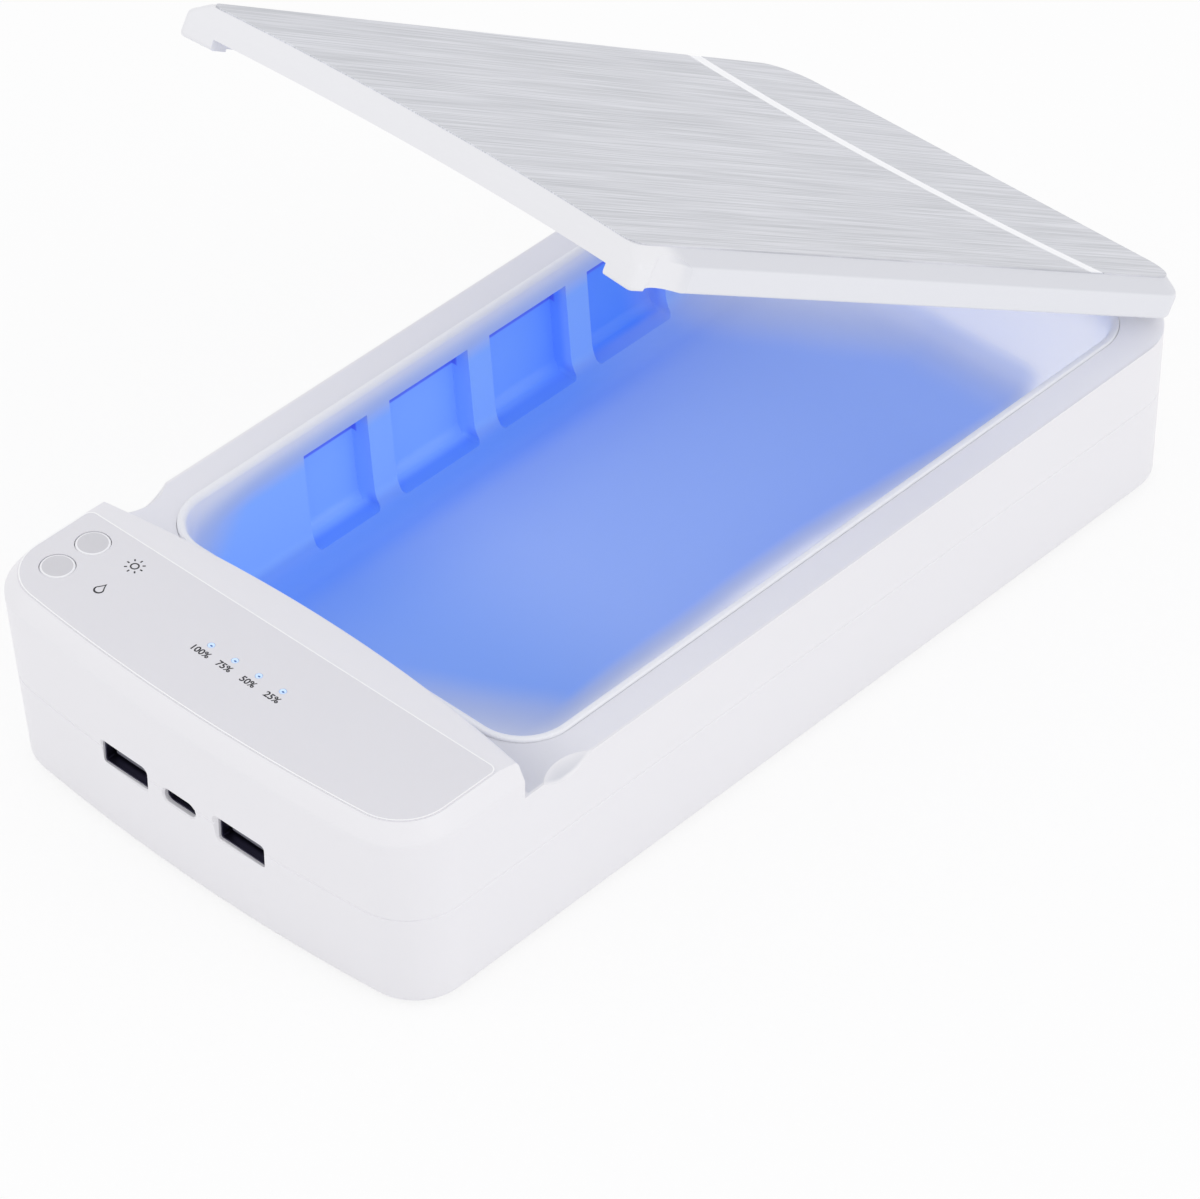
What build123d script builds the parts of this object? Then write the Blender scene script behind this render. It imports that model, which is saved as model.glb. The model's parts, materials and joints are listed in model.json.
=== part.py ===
from build123d import *
from math import cos, radians, sin, sqrt, tan
import os

os.makedirs("parts", exist_ok=True)

# All sizes are in millimetres. X runs across the box, Y from the control panel
# to the hinge, Z up from the surface that the feet stand on.

# Outside of the base
width = 126.0               # across the rim
length = 255.8              # bowed front to the back of the hinge barrels
half_width = width / 2
front_y = -length / 2
rear_y = length / 2
rim_z = 43.0                # rim round the chamber
top_z = 52.0                # control film, level with the closed lid
part_z = 25.8               # joint between upper and lower shell
bevel_z = 47.6              # lower edge of the bevel round the control panel
bevel_run = 3.0             # bevel width seen from above
bevel_r = 1.5               # rounding of that lower edge
foot_drop = 1.2             # shell underside above the surface
side_draft = 1.4            # each side leans in by this at the surface
front_draft = 4.3
rear_draft = 0.2
corner_r = 15.3
corner_draft = 2.8          # the corners are this much tighter at the surface
bow_r = 480.0               # radius of the bowed front
base_edge_r = 1.6
wall = 2.2
seam = 0.3                  # makes the fine line round the shell joint

# Step between the control panel and the lid
crest_y = front_y + 44.0    # middle of the panel's bowed rear wall
crest_r = 325.0             # bow of that wall and of the lid's front
apron_run = 10.5            # where the top falls towards the lid
apron_drop = 1.4
apron_y = crest_y - apron_run
crest_edge_r = 0.8

# Hinge
hinge_z = 47.5
barrel_r = 2.4
hinge_y = rear_y - barrel_r
pin_r = 0.9
pin_play = 0.05
sleeve_wall = 0.4
station_x = half_width - 29.0   # centre of each hinge
base_barrel = 12.0
lid_barrel = 8.0
barrel_gap = 0.3
barrel_room = 0.4           # round the base's barrels, inside the lid
open_angle = 31.35          # the lid's angle at rest

# Chamber tub
tub_half = half_width - 10.0
tub_front = crest_y + 4.1
tub_rear = rear_y - 11.9
tub_corner = 11.0
tub_floor = 10.0
tub_wall = 1.3
tub_fillet = 8.5
tub_draft = 5.0
lip_width = 2.0
lip_height = 0.8            # above the rim
lip_seat = 0.8              # below the rim
lip_edge_r = 0.5
lip_inner_r = 1.3
fit_gap = 0.12
rib_thick = 2.0             # ribs under the tub
rib_x = 28.0
rib_y = 45.0

# Lamp pockets in the tub's long walls
pocket_depth = 5.5
pocket_top = 37.4
pocket_low = 12.6
pocket_width = 24.85
pocket_pitch = 31.85
pocket_count = 4
pocket_short = 19.6         # the one nearest to the panel is narrower
pocket_last_y = tub_rear - 52.1     # centre of the pocket nearest to the hinge
pocket_wall = 1.2
pocket_corner = 1.2
pocket_foot_r = 3.0         # hollow between a pocket's back and its floor

# Lamps
lamp_size = 3.4
lamp_height = 1.25
lamp_play = 0.15
strip_thick = 1.0
strip_width = 4.0
strip_x = tub_half + 3.4
strip_over = (5.0, 1.7)     # strip past the first and the last pocket

# Control panel
film_thick = 0.3
film_margin = 0.25
film_corner = 2.0
top_thick = 2.1
button_x = 11.6 - half_width
lamp_button_y = front_y + 26.2
scent_button_y = front_y + 16.0
button_r = 3.85
button_play = 0.15
button_flange_r = 4.6
button_flange = 0.8
button_gap = 0.1            # between flange and deck
button_travel = 0.4
button_stem_r = 1.6
button_edge_r = 0.4
gauge_x = 0.75              # middle of the battery gauge
gauge_y = front_y + 20.4
gauge_pitch = 7.0
gauge_count = 4
gauge_lamp = (1.6, 0.8, 0.7)
guide_r = 0.75
guide_play = 0.1
guide_bar = (4.0, 1.2)      # depth and thickness of the bar that joins the guides
guide_air = 0.3             # between a lamp and its guide

# Ports in the front, across the joint of the shells
port_z = 24.5
port_chamfer = 0.5
port_play = 0.15
usb_a_xs = (-19.0, 15.6)
usb_a_size = (13.1, 5.7)
usb_a_depth = 13.5
usb_a_corner = 0.5
usb_a_tongue = (11.1, 11.0, 1.9)
usb_a_tongue_drop = 0.9
usb_c_x = -2.2
usb_c_size = (8.94, 3.26)
usb_c_depth = 7.3
usb_c_corner = 1.45
usb_c_tongue = (6.7, 5.8, 0.7)
socket_wall = 0.3
socket_back = 1.3           # from the front face to the socket's mouth
socket_leg = 1.0            # legs under the middle socket

# Lid, given as it lies when closed
lid_gap = 0.3               # above the rim
lid_front = crest_y + 0.9
lid_rear = rear_y - 0.9
lid_half = half_width
lid_corner = 14.0
lid_front_corner = 1.5
lid_edge_z = 48.9           # lower edge of the lid's bevel
lid_bevel = 3.9
lid_front_bevel = 0.6
# the bevel's rounded lower edge: height from that edge, share of the bevel
lid_edge_steps = ((-0.8, 0.0), (-0.25, 0.03), (0.2, 0.115), (0.7, 0.25))
lid_wall = 1.8
lid_top_thick = 1.6
lid_shoulder_z = 47.5
lid_foot_r = 1.0            # on the lower rear edge, so that it swings clear
lug_x = half_width - 8.5    # inner face of the two front lugs
lug_back_y = lid_front + 0.5
lug_drop = 2.4              # how far the lugs reach below the edge between them
grip_x = half_width - 6.5   # solid part of the lid behind each finger scoop
grip_back_y = lid_front + 17.0
stripe_y = rear_y - 48.2    # its middle, from where it bows back to both sides
stripe_bow_r = 265.0
stripe_width = 5.5
stripe_thick = 0.15
sheet_margin = 0.25
sheet_corner = 3.5
liner_lift = 1.7            # liner underside above the lid's lower edge
liner_thick = 1.2
liner_play = 0.2
liner_rear = lid_rear - 6.5
reflector_thick = 0.3
reflector_half = tub_half - 3.5
reflector_ends = (9.0, 5.0)     # inside the tub's front and rear
reflector_corner = 8.0
lid_screw_x = lid_half - 5.5
lid_screw_ends = (31.0, 35.0)   # from the lid's front and rear
magnet_size = (10.0, 5.0, 3.0)
magnet_x = 12.0
magnet_y = lid_front + 9.0
bumper_x = lid_half - 4.0
bumper_in = 4.2             # behind the lid's front edge
bumper_r = 1.8
bumper_thick = 0.75
bumper_seat = 0.5

# Finger scoops, one each side, half in the lid and half in the base
scoop_y = crest_y + 6.6
scoop_r = 10.6
scoop_depth = 3.0
scoop_fall = 3.5            # how far the base's half reaches below the rim
scoop_lean = 0.6            # how much narrower the lid's half is at its top

# Fasteners
case_screw_r = 1.3
case_head_r = 2.5
case_head = 1.8
case_slot = (3.0, 0.6, 0.9)     # cross slot: length, width, depth
case_screw_length = 18.0
case_screws_xy = ((half_width - 9.6, rear_y - 12.0), (half_width - 9.5, crest_y - 3.1))
case_seat_z = 7.0
boss_joint_z = 14.0
boss_r = 2.6
tower_wall = 1.2            # lower tower outside the upper boss
small_screw_r = 0.9
small_head_r = 1.8
small_head = 1.2
small_screw_length = 5.0
small_boss_wall = 1.4
screw_play = 0.05

# Boards and battery
board_thick = 1.6
board_half = half_width - 18.0
board_front = front_y + 7.4
board_rear = crest_y - 7.1
board_screws_xy = ((board_half - 3.5, board_front + 7.0), (board_half - 3.5, board_rear - 4.0))
chip_size = (7.0, 7.0, 1.2)
chip_xy = (-14.0, board_rear - 9.0)
coil_size = (7.3, 6.6, 4.0)
coil_xy = (-30.0, board_rear - 11.0)
coil_corner = 1.0
capacitor_r = 4.0
capacitor_height = 9.0
capacitor_edge_r = 0.5
capacitor_xy = (31.0, board_rear - 12.0)
panel_board_z = 41.0
panel_board_x = (6.0 - half_width, 20.0)
panel_board_y = (front_y + 11.4, crest_y - 9.6)
panel_board_corner = 6.0
panel_screws_xy = (
    (button_x + 13.4, gauge_y + 1.0),
    (panel_board_x[1] - 3.0, panel_board_y[1] - 4.0),
    (panel_board_x[1] - 3.0, panel_board_y[0] + 3.0),
)
sensor_size = (4.0, 3.0, 1.5)
sensor_y = panel_board_y[1] + 2.0
switch_size = 6.0
switch_height = 3.4
switch_floor = 1.0
switch_spare = 0.2          # left under the plunger when pressed
plunger_r = 1.75
plunger_play = 0.05
plunger_rise = 1.2
battery_size = (2 * board_half - 18.0, 31.0, 14.0)
battery_y = front_y + 24.9
battery_edge_r = 2.5

# Leads
lead_r = 0.6
bend_r = 1.8
lead_out = 4.5              # from the battery's end
lead_ys = (battery_y - 1.0, battery_y - 3.5)
lead_z = 12.0
ribbon_size = (6.0, 0.6)
ribbon_xy = (8.0, board_rear - 7.0)
lamp_lead_x = board_half - 1.5
lamp_lead_ys = (board_rear - 8.0, board_rear - 10.0)
lamp_lead_zs = (30.0, 32.5)
lamp_lead_ends = (2.3, 0.7)     # from the strip's end
scent_lead_x = 3.0
scent_lead_out = 6.0
scent_lead_play = 0.15

# Scent unit behind the tub's front wall
scent_z = 28.0
scent_hole_r = 8.0
scent_cup_r = 9.2
scent_cup_wall = 1.2
scent_cup_depth = 9.5
scent_pad_thick = 5.0
scent_heater_thick = 1.2
scent_play = 0.1
grille_flange = 0.8
grille_rim = 1.0            # flange outside the hole
grille_tube = 1.2
grille_slot = (9.0, 1.2)
grille_pitch = 3.0
grille_count = 4

# Feet
foot_r = 6.0
foot_seat = 0.8
foot_edge_r = 0.3
foot_places = ((half_width - 18.0, front_y + 27.9), (half_width - 18.0, rear_y - 29.9))

# Heights and places that follow from the sizes above
over = 1.0                  # cuts run this far past the face that they open
hinge_line = Axis((0, hinge_y, hinge_z), (1, 0, 0))
sleeve_r = pin_r + pin_play + sleeve_wall
floor_z = foot_drop + wall
shell_top = top_z - film_thick
panel_under = shell_top - top_thick
rim_under = rim_z - wall
tub_lip_top = rim_z + lip_height
tub_seat_z = rim_z - lip_seat
tub_mid = (tub_front + tub_rear) / 2
tub_long = tub_rear - tub_front
tub_slope = tan(radians(tub_draft))
scoop_x = half_width - scoop_depth + scoop_r
board_z = port_z - usb_a_size[1] / 2 - board_thick
board_top = board_z + board_thick
panel_board_top = panel_board_z + board_thick
lid_base = rim_z + lid_gap
lid_under = shell_top - lid_top_thick
liner_z = lid_base + liner_lift
liner_top = liner_z + liner_thick
lamp_z = pocket_top + lamp_play
strip_z = lamp_z + lamp_height
lid_screw_ys = (lid_front + lid_screw_ends[0], lid_rear - lid_screw_ends[1])
lid_screws_xy = [(lid_screw_x, y) for y in (lid_screw_ys[0], sum(lid_screw_ys) / 2, lid_screw_ys[1])]
buttons_xy = [(button_x, lamp_button_y), (button_x, scent_button_y)]


def bow(radius, x):
    """Depth of a shallow arc of this radius at a distance x from its middle."""
    return radius - sqrt(radius**2 - x**2)


def lean(z):
    """Share of the draft that is left at height z."""
    return 1 - z / bevel_z


def front_at(z):
    return front_y + front_draft * lean(z)


def both_sides(places):
    """The given places on the right, and the same on the left."""
    return [(side * x, y) for side in (1, -1) for x, y in places]


def body_plan(z, inset=0.0, height=None):
    """Plan of the base as it is at z, laid at a height of its own if one is given."""
    half = half_width - side_draft * lean(z) - inset
    front = front_at(z) + inset
    rear = hinge_y - rear_draft * lean(z) - inset
    shoulder = front + bow(bow_r - inset, half)
    with BuildSketch(Plane.XY.offset(z if height is None else height)) as plan:
        with BuildLine():
            ThreePointArc((-half, shoulder), (0, front), (half, shoulder))
            Polyline((half, shoulder), (half, rear), (-half, rear), (-half, shoulder))
        make_face()
        fillet(plan.vertices(), corner_r - corner_draft * lean(z) - inset)
    return plan.sketch


def body_slab(low, high, inset=0.0):
    """Solid between two heights, with the base's draft."""
    with BuildPart() as slab:
        loft([body_plan(low, inset), body_plan(high, inset)], ruled=True)
    return slab.part


def edges_at(piece, height):
    """Level edges of a piece at this height."""
    return piece.edges().filter_by_position(Axis.Z, height - 0.01, height + 0.01).filter_by(
        lambda edge: edge.bounding_box().size.Z < 0.01
    )


def arc_sketch(middle_y, radius, height):
    """Everything behind an arc that bows towards the hinge, as a sketch."""
    reach = width * 0.75
    edge = middle_y - bow(radius, reach)
    with BuildSketch(Plane.XY.offset(height)) as plan:
        with BuildLine():
            ThreePointArc((-reach, edge), (0, middle_y), (reach, edge))
            Polyline((reach, edge), (reach, length), (-reach, length), (-reach, edge))
        make_face()
    return plan.sketch


def rounded_ring(height, grow):
    """Plan of the tub's opening, grown outwards."""
    with BuildSketch(Plane.XY.offset(height)) as plan:
        with Locations((0, tub_mid)):
            RectangleRounded(2 * (tub_half + grow), tub_long + 2 * grow, tub_corner + grow)
    return plan.sketch


def tub_form(grow, top, floor):
    """Tapered tub shape, grown outwards by a wall."""
    with BuildPart() as form:
        extrude(rounded_ring(top, grow), amount=-(top - floor), taper=tub_draft)
        fillet(form.faces().sort_by(Axis.Z)[0].edges(), tub_fillet + grow)
    return form.part


def pocket_spans():
    """Low and high Y of each lamp pocket, from the hinge end on."""
    spans = []
    for step in range(pocket_count - 1):
        middle = pocket_last_y - step * pocket_pitch
        spans.append((middle - pocket_width / 2, middle + pocket_width / 2))
    high = spans[-1][0] - (pocket_pitch - pocket_width)
    spans.append((high - pocket_short, high))
    return spans


def strip_span():
    """Low and high Y of the lamp strips."""
    spans = pocket_spans()
    return spans[-1][0] - strip_over[0], spans[0][1] + strip_over[1]


def pocket_row(side, grow):
    """Lamp pockets along one wall, their backs parallel to it."""
    low, high = pocket_low - grow, pocket_top + grow
    inner = tub_half - pocket_depth
    low_back, high_back = (
        tub_half + pocket_depth + grow - (tub_lip_top - z) * tub_slope for z in (low, high)
    )
    with BuildPart() as row:
        with BuildSketch(Plane.YZ.offset(side * inner)) as openings:
            for near, far in pocket_spans():
                with Locations(((near + far) / 2, (low + high) / 2)):
                    Rectangle(far - near + 2 * grow, high - low)
            fillet(openings.vertices().group_by(Axis.Y)[0], pocket_corner + grow)
        extrude(amount=side * 3 * pocket_depth)
        with BuildSketch(Plane.XZ.offset(-tub_rear)) as profile:
            with BuildLine():
                Polyline(
                    (side * inner, low),
                    (side * low_back, low),
                    (side * high_back, high),
                    (side * inner, high),
                    close=True,
                )
            make_face()
            foot = profile.vertices().group_by(Axis.Y)[0].sort_by(Axis.X)[-1 if side > 0 else 0]
            fillet(foot, pocket_foot_r + grow)
        extrude(amount=tub_long, mode=Mode.INTERSECT)
    return row.part


def port_cut(x, size, corner):
    """Hole through the front wall for a socket, with a chamfered mouth."""
    face_y = front_at(port_z) + bow(bow_r, x)
    mouth = port_chamfer + over
    opening_width, opening_height = (side + 2 * port_play for side in size)
    corner += port_play
    front_plane = Plane(origin=(x, face_y - over, port_z), x_dir=(1, 0, 0), z_dir=(0, -1, 0))
    with BuildPart() as cut:
        with BuildSketch(front_plane):
            RectangleRounded(opening_width + 2 * mouth, opening_height + 2 * mouth, corner + mouth)
        with BuildSketch(front_plane.offset(-mouth)):
            RectangleRounded(opening_width, opening_height, corner)
        loft(ruled=True)
        with BuildSketch(front_plane.offset(-mouth)):
            RectangleRounded(opening_width, opening_height, corner)
        extrude(amount=-2 * wall)
    return cut.part


def stripe_band(height):
    """Plan of the bowed stripe across the lid."""
    back = bow(stripe_bow_r, lid_half)
    low, high = stripe_y - stripe_width / 2, stripe_y + stripe_width / 2
    with BuildSketch(Plane.XY.offset(height)) as band:
        with BuildLine():
            ThreePointArc((-lid_half, low + back), (0, low), (lid_half, low + back))
            Line((lid_half, low + back), (lid_half, high + back))
            ThreePointArc((lid_half, high + back), (0, high), (-lid_half, high + back))
            Line((-lid_half, high + back), (-lid_half, low + back))
        make_face()
    return band.sketch


def lid_plan(height, inset, front_inset=None, front_corner=lid_front_corner):
    """Plan of the closed lid at a height, drawn in from its edge."""
    half = lid_half - inset
    front = lid_front + (inset if front_inset is None else front_inset)
    rear = lid_rear - inset
    edge = front - bow(crest_r, half)
    with BuildSketch(Plane.XY.offset(height)) as plan:
        with BuildLine():
            ThreePointArc((-half, edge), (0, front), (half, edge))
            Polyline((half, edge), (half, rear), (-half, rear), (-half, edge))
        make_face()
        fillet(plan.vertices().group_by(Axis.Y)[-1], lid_corner - inset)
        fillet(plan.vertices().group_by(Axis.Y)[0], front_corner)
    return plan.sketch


def posts(places, radius, low, high):
    """Round posts or holes at several places."""
    with BuildPart() as group:
        with BuildSketch(Plane.XY.offset(low)):
            with Locations(*places):
                Circle(radius)
        extrude(amount=high - low)
    return group.part


def side_posts(center_x, half_length, radius, low_z=None):
    """Cylinder on the hinge line, with a block under it if a height is given."""
    with BuildPart() as group:
        with BuildSketch(Plane.YZ.offset(center_x)):
            with Locations((hinge_y, hinge_z)):
                Circle(radius)
            if low_z is not None:
                with Locations((hinge_y - radius / 2, (hinge_z + low_z) / 2)):
                    Rectangle(radius, hinge_z - low_z)
        extrude(amount=half_length, both=True)
    return group.part


def wire(points):
    """One insulated lead along the given points, with rounded bends."""
    with BuildPart() as lead:
        with BuildLine() as path:
            FilletPolyline(*points, radius=bend_r)
        with BuildSketch(Plane(origin=path.line @ 0, z_dir=path.line % 0)):
            Circle(lead_r)
        sweep()
    return lead.part


def save(piece, name, opened=False):
    """Export a piece, turned up with the lid where it belongs to it."""
    shape = piece.part.rotate(hinge_line, -open_angle) if opened else piece.part
    shape.label = name
    export_step(shape, f"parts/{name}.step")


# Port openings, shared by both shells
port_cuts = [port_cut(x, usb_a_size, usb_a_corner) for x in usb_a_xs]
port_cuts.append(port_cut(usb_c_x, usb_c_size, usb_c_corner))

# Lower shell
with BuildPart() as lower_shell:
    add(body_slab(foot_drop, part_z - seam))
    fillet(lower_shell.faces().sort_by(Axis.Z)[0].edges(), base_edge_r)
    loft([body_plan(part_z - seam), body_plan(part_z, seam)], ruled=True)
    add(body_slab(floor_z, part_z + over, wall), mode=Mode.SUBTRACT)
    add(posts(both_sides(case_screws_xy), boss_r + tower_wall, foot_drop + wall / 2, boss_joint_z))
    add(posts(both_sides(board_screws_xy), small_screw_r + small_boss_wall, foot_drop + wall / 2, board_z))
    with BuildSketch(Plane.XY.offset(floor_z)):
        with Locations((-rib_x, tub_mid), (rib_x, tub_mid)):
            Rectangle(rib_thick, 3 * rib_y)
        with Locations((0, tub_mid - rib_y), (0, tub_mid + rib_y)):
            Rectangle(2 * rib_x, rib_thick)
    extrude(amount=tub_floor - tub_wall - floor_z)
    for places, radius, low, high in (
        (foot_places, foot_r + fit_gap, 0, foot_drop + foot_seat),
        (case_screws_xy, case_head_r + fit_gap, 0, case_seat_z),
        (case_screws_xy, case_screw_r + screw_play, foot_drop, boss_joint_z + over),
        (board_screws_xy, small_screw_r + screw_play, board_z - small_screw_length - over, board_z + over),
    ):
        add(posts(both_sides(places), radius, low, high), mode=Mode.SUBTRACT)
    for cut in port_cuts:
        add(cut, mode=Mode.SUBTRACT)
save(lower_shell, "lower_shell")

# Upper shell, with the rim, the control block and the base's hinge barrels
block_inset = bevel_run + wall / 4
apron_slope = apron_drop / apron_run
apron_reach = 3 * apron_run

with BuildPart() as block:
    add(body_slab(rim_z, bevel_z))
    loft([body_plan(bevel_z), body_plan(bevel_z, bevel_run, shell_top)], ruled=True)
    fillet(edges_at(block, bevel_z), bevel_r)
    extrude(arc_sketch(crest_y, crest_r, rim_z), amount=top_z, mode=Mode.SUBTRACT)
    with BuildSketch(Plane.YZ):
        with BuildLine():
            Polyline(
                (apron_y, shell_top),
                (apron_y + apron_reach, shell_top - apron_reach * apron_slope),
                (apron_y + apron_reach, top_z + over),
                (apron_y, top_z + over),
                close=True,
            )
        make_face()
    extrude(amount=width, both=True, mode=Mode.SUBTRACT)
    crest = block.edges().filter_by(lambda edge: edge.center().Z > bevel_z + over).sort_by(Axis.Y)[-1]
    fillet(crest, crest_edge_r)

with BuildPart() as block_room:
    extrude(body_plan(bevel_z, block_inset, rim_under - over), amount=panel_under - rim_under + over)
    extrude(arc_sketch(crest_y - wall, crest_r, rim_under - over), amount=top_z, mode=Mode.SUBTRACT)

with BuildPart() as upper_shell:
    loft([body_plan(part_z, seam), body_plan(part_z + seam)], ruled=True)
    add(body_slab(part_z + seam, rim_z))
    add(block.part)
    add(body_slab(part_z - over, rim_under, wall), mode=Mode.SUBTRACT)
    add(block_room.part, mode=Mode.SUBTRACT)
    extrude(rounded_ring(rim_under - over, tub_wall + 2 * fit_gap), amount=wall + 2 * over, mode=Mode.SUBTRACT)
    extrude(rounded_ring(tub_seat_z, lip_width + fit_gap), amount=lip_seat + over, mode=Mode.SUBTRACT)
    for side in (1, -1):
        with Locations((side * scoop_x, scoop_y, rim_z - scoop_fall / 2)):
            Cone(scoop_r - 1.1 * scoop_depth, scoop_r, scoop_fall, mode=Mode.SUBTRACT)
    add(posts(both_sides(case_screws_xy), boss_r, boss_joint_z, rim_under + wall / 4))
    add(posts(panel_screws_xy, small_screw_r + small_boss_wall, panel_board_top, panel_under + wall / 4))
    thread_top = case_seat_z + case_screw_length + over
    panel_thread_top = panel_board_z + small_screw_length + over
    for places, radius, low, high in (
        (both_sides(case_screws_xy), case_screw_r + screw_play, boss_joint_z - over, thread_top),
        (panel_screws_xy, small_screw_r + screw_play, panel_board_z, panel_thread_top),
        (buttons_xy, button_r + button_play, panel_under - over, top_z),
    ):
        add(posts(places, radius, low, high), mode=Mode.SUBTRACT)
    with BuildSketch(Plane.XY.offset(panel_under - over)):
        with Locations((gauge_x, gauge_y)):
            with GridLocations(gauge_pitch, 1, gauge_count, 1):
                Circle(guide_r + guide_play)
    extrude(amount=top_thick + 2 * over, mode=Mode.SUBTRACT)
    for side in (1, -1):
        add(side_posts(side * station_x, base_barrel / 2, barrel_r, rim_under))
        add(side_posts(side * station_x, base_barrel, sleeve_r), mode=Mode.SUBTRACT)
    for cut in port_cuts:
        add(cut, mode=Mode.SUBTRACT)
save(upper_shell, "upper_shell")

# Chamber tub, its front wall pierced for the scent unit
scent_wall_y = tub_front - tub_wall + (tub_seat_z - scent_z) * tub_slope
scent_plane = Plane(
    origin=(0, scent_wall_y, scent_z),
    x_dir=(1, 0, 0),
    z_dir=(0, -cos(radians(tub_draft)), -sin(radians(tub_draft))),
)

with BuildPart() as chamber_tub:
    add(tub_form(tub_wall, tub_seat_z, tub_floor - tub_wall))
    for side in (1, -1):
        add(pocket_row(side, pocket_wall))
    extrude(rounded_ring(tub_seat_z, lip_width), amount=lip_seat + lip_height)
    fillet(chamber_tub.faces().sort_by(Axis.Z)[-1].edges(), lip_edge_r)
    add(tub_form(0, tub_lip_top, tub_floor), mode=Mode.SUBTRACT)
    fillet(chamber_tub.faces().sort_by(Axis.Z)[-1].inner_wires()[0].edges(), lip_inner_r)
    for side in (1, -1):
        add(pocket_row(side, 0), mode=Mode.SUBTRACT)
        with BuildSketch(Plane.XY.offset(pocket_top - over)):
            with Locations(*[(side * strip_x, (near + far) / 2) for near, far in pocket_spans()]):
                Rectangle(lamp_size + 2 * lamp_play, lamp_size + 2 * lamp_play)
        extrude(amount=pocket_wall + 2 * over, mode=Mode.SUBTRACT)
    with BuildSketch(scent_plane):
        Circle(scent_hole_r)
    extrude(amount=2 * tub_wall, both=True, mode=Mode.SUBTRACT)
save(chamber_tub, "chamber_tub")

# Control film, with holes for the buttons and the gauge
with BuildPart() as control_film:
    extrude(body_plan(bevel_z, bevel_run + film_margin, shell_top), amount=film_thick)
    with Locations((0, apron_y + length / 2, shell_top)):
        Box(width, length, 2 * over, mode=Mode.SUBTRACT)
    fillet(control_film.edges().filter_by(Axis.Z).group_by(Axis.Y)[-1], film_corner)
    add(posts(buttons_xy, button_r + button_play, rim_z, top_z), mode=Mode.SUBTRACT)
    with BuildSketch(Plane.XY.offset(shell_top)):
        with Locations((gauge_x, gauge_y)):
            with GridLocations(gauge_pitch, 1, gauge_count, 1):
                Circle(guide_r + guide_play)
    extrude(amount=film_thick, mode=Mode.SUBTRACT)
save(control_film, "control_film")

# Light guide of the gauge, one moulding with a bar under the deck
guide_low = panel_board_top + gauge_lamp[2] + guide_air

with BuildPart() as gauge_guide:
    with Locations((gauge_x, gauge_y, panel_under)):
        Box(
            (gauge_count - 1) * gauge_pitch + guide_bar[0],
            *guide_bar,
            align=(Align.CENTER, Align.CENTER, Align.MAX),
        )
    with BuildSketch(Plane.XY.offset(guide_low)):
        with Locations((gauge_x, gauge_y)):
            with GridLocations(gauge_pitch, 1, gauge_count, 1):
                Circle(guide_r)
    extrude(amount=top_z - guide_low)
save(gauge_guide, "gauge_guide")

with BuildPart() as gauge_lamps:
    with Locations((gauge_x, gauge_y, panel_board_top)):
        with GridLocations(gauge_pitch, 1, gauge_count, 1):
            Box(*gauge_lamp, align=(Align.CENTER, Align.CENTER, Align.MIN))
save(gauge_lamps, "gauge_lamps")

# Panel board with the two switches and the lid sensor
with BuildPart() as panel_board:
    with BuildSketch(Plane.XY.offset(panel_board_z)) as outline:
        with Locations((sum(panel_board_x) / 2, sum(panel_board_y) / 2)):
            Rectangle(panel_board_x[1] - panel_board_x[0], panel_board_y[1] - panel_board_y[0])
        fillet(outline.vertices().group_by(Axis.X)[0], panel_board_corner)
    extrude(amount=board_thick)
    add(
        posts(panel_screws_xy, small_screw_r + screw_play, panel_board_z - over, panel_board_top + over),
        mode=Mode.SUBTRACT,
    )
save(panel_board, "panel_board")

switch_top = panel_board_top + switch_height
stem_low = switch_top + plunger_rise
flange_top = panel_under - button_gap

well_low = panel_board_top + switch_floor

for place, label in zip(buttons_xy, ("lamp", "scent")):
    with BuildPart() as switch_case:
        with Locations((*place, panel_board_top)):
            Box(switch_size, switch_size, switch_height, align=(Align.CENTER, Align.CENTER, Align.MIN))
        add(
            posts([place], plunger_r + plunger_play, well_low, switch_top + over),
            mode=Mode.SUBTRACT,
        )
    save(switch_case, f"{label}_switch")

    with BuildPart() as plunger:
        add(posts([place], plunger_r, well_low + button_travel + switch_spare, stem_low))
    save(plunger, f"{label}_plunger")

    with BuildPart() as button:
        add(posts([place], button_r, flange_top - button_flange, top_z))
        fillet(button.faces().sort_by(Axis.Z)[-1].edges(), button_edge_r)
        add(posts([place], button_flange_r, flange_top - button_flange, flange_top))
        add(posts([place], button_stem_r, stem_low, flange_top))
    save(button, f"{label}_button")

with BuildPart() as lid_sensor:
    with Locations((magnet_x, sensor_y, panel_board_top)):
        Box(*sensor_size, align=(Align.CENTER, Align.CENTER, Align.MIN))
save(lid_sensor, "lid_sensor")

# Main board with its sockets
with BuildPart() as main_board:
    with Locations((0, (board_front + board_rear) / 2, board_z)):
        Box(
            2 * board_half,
            board_rear - board_front,
            board_thick,
            align=(Align.CENTER, Align.CENTER, Align.MIN),
        )
    add(
        posts(both_sides(board_screws_xy), small_screw_r + screw_play, board_z - over, board_top + over),
        mode=Mode.SUBTRACT,
    )
save(main_board, "main_board")

socket_y = front_at(port_z) + socket_back


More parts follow.
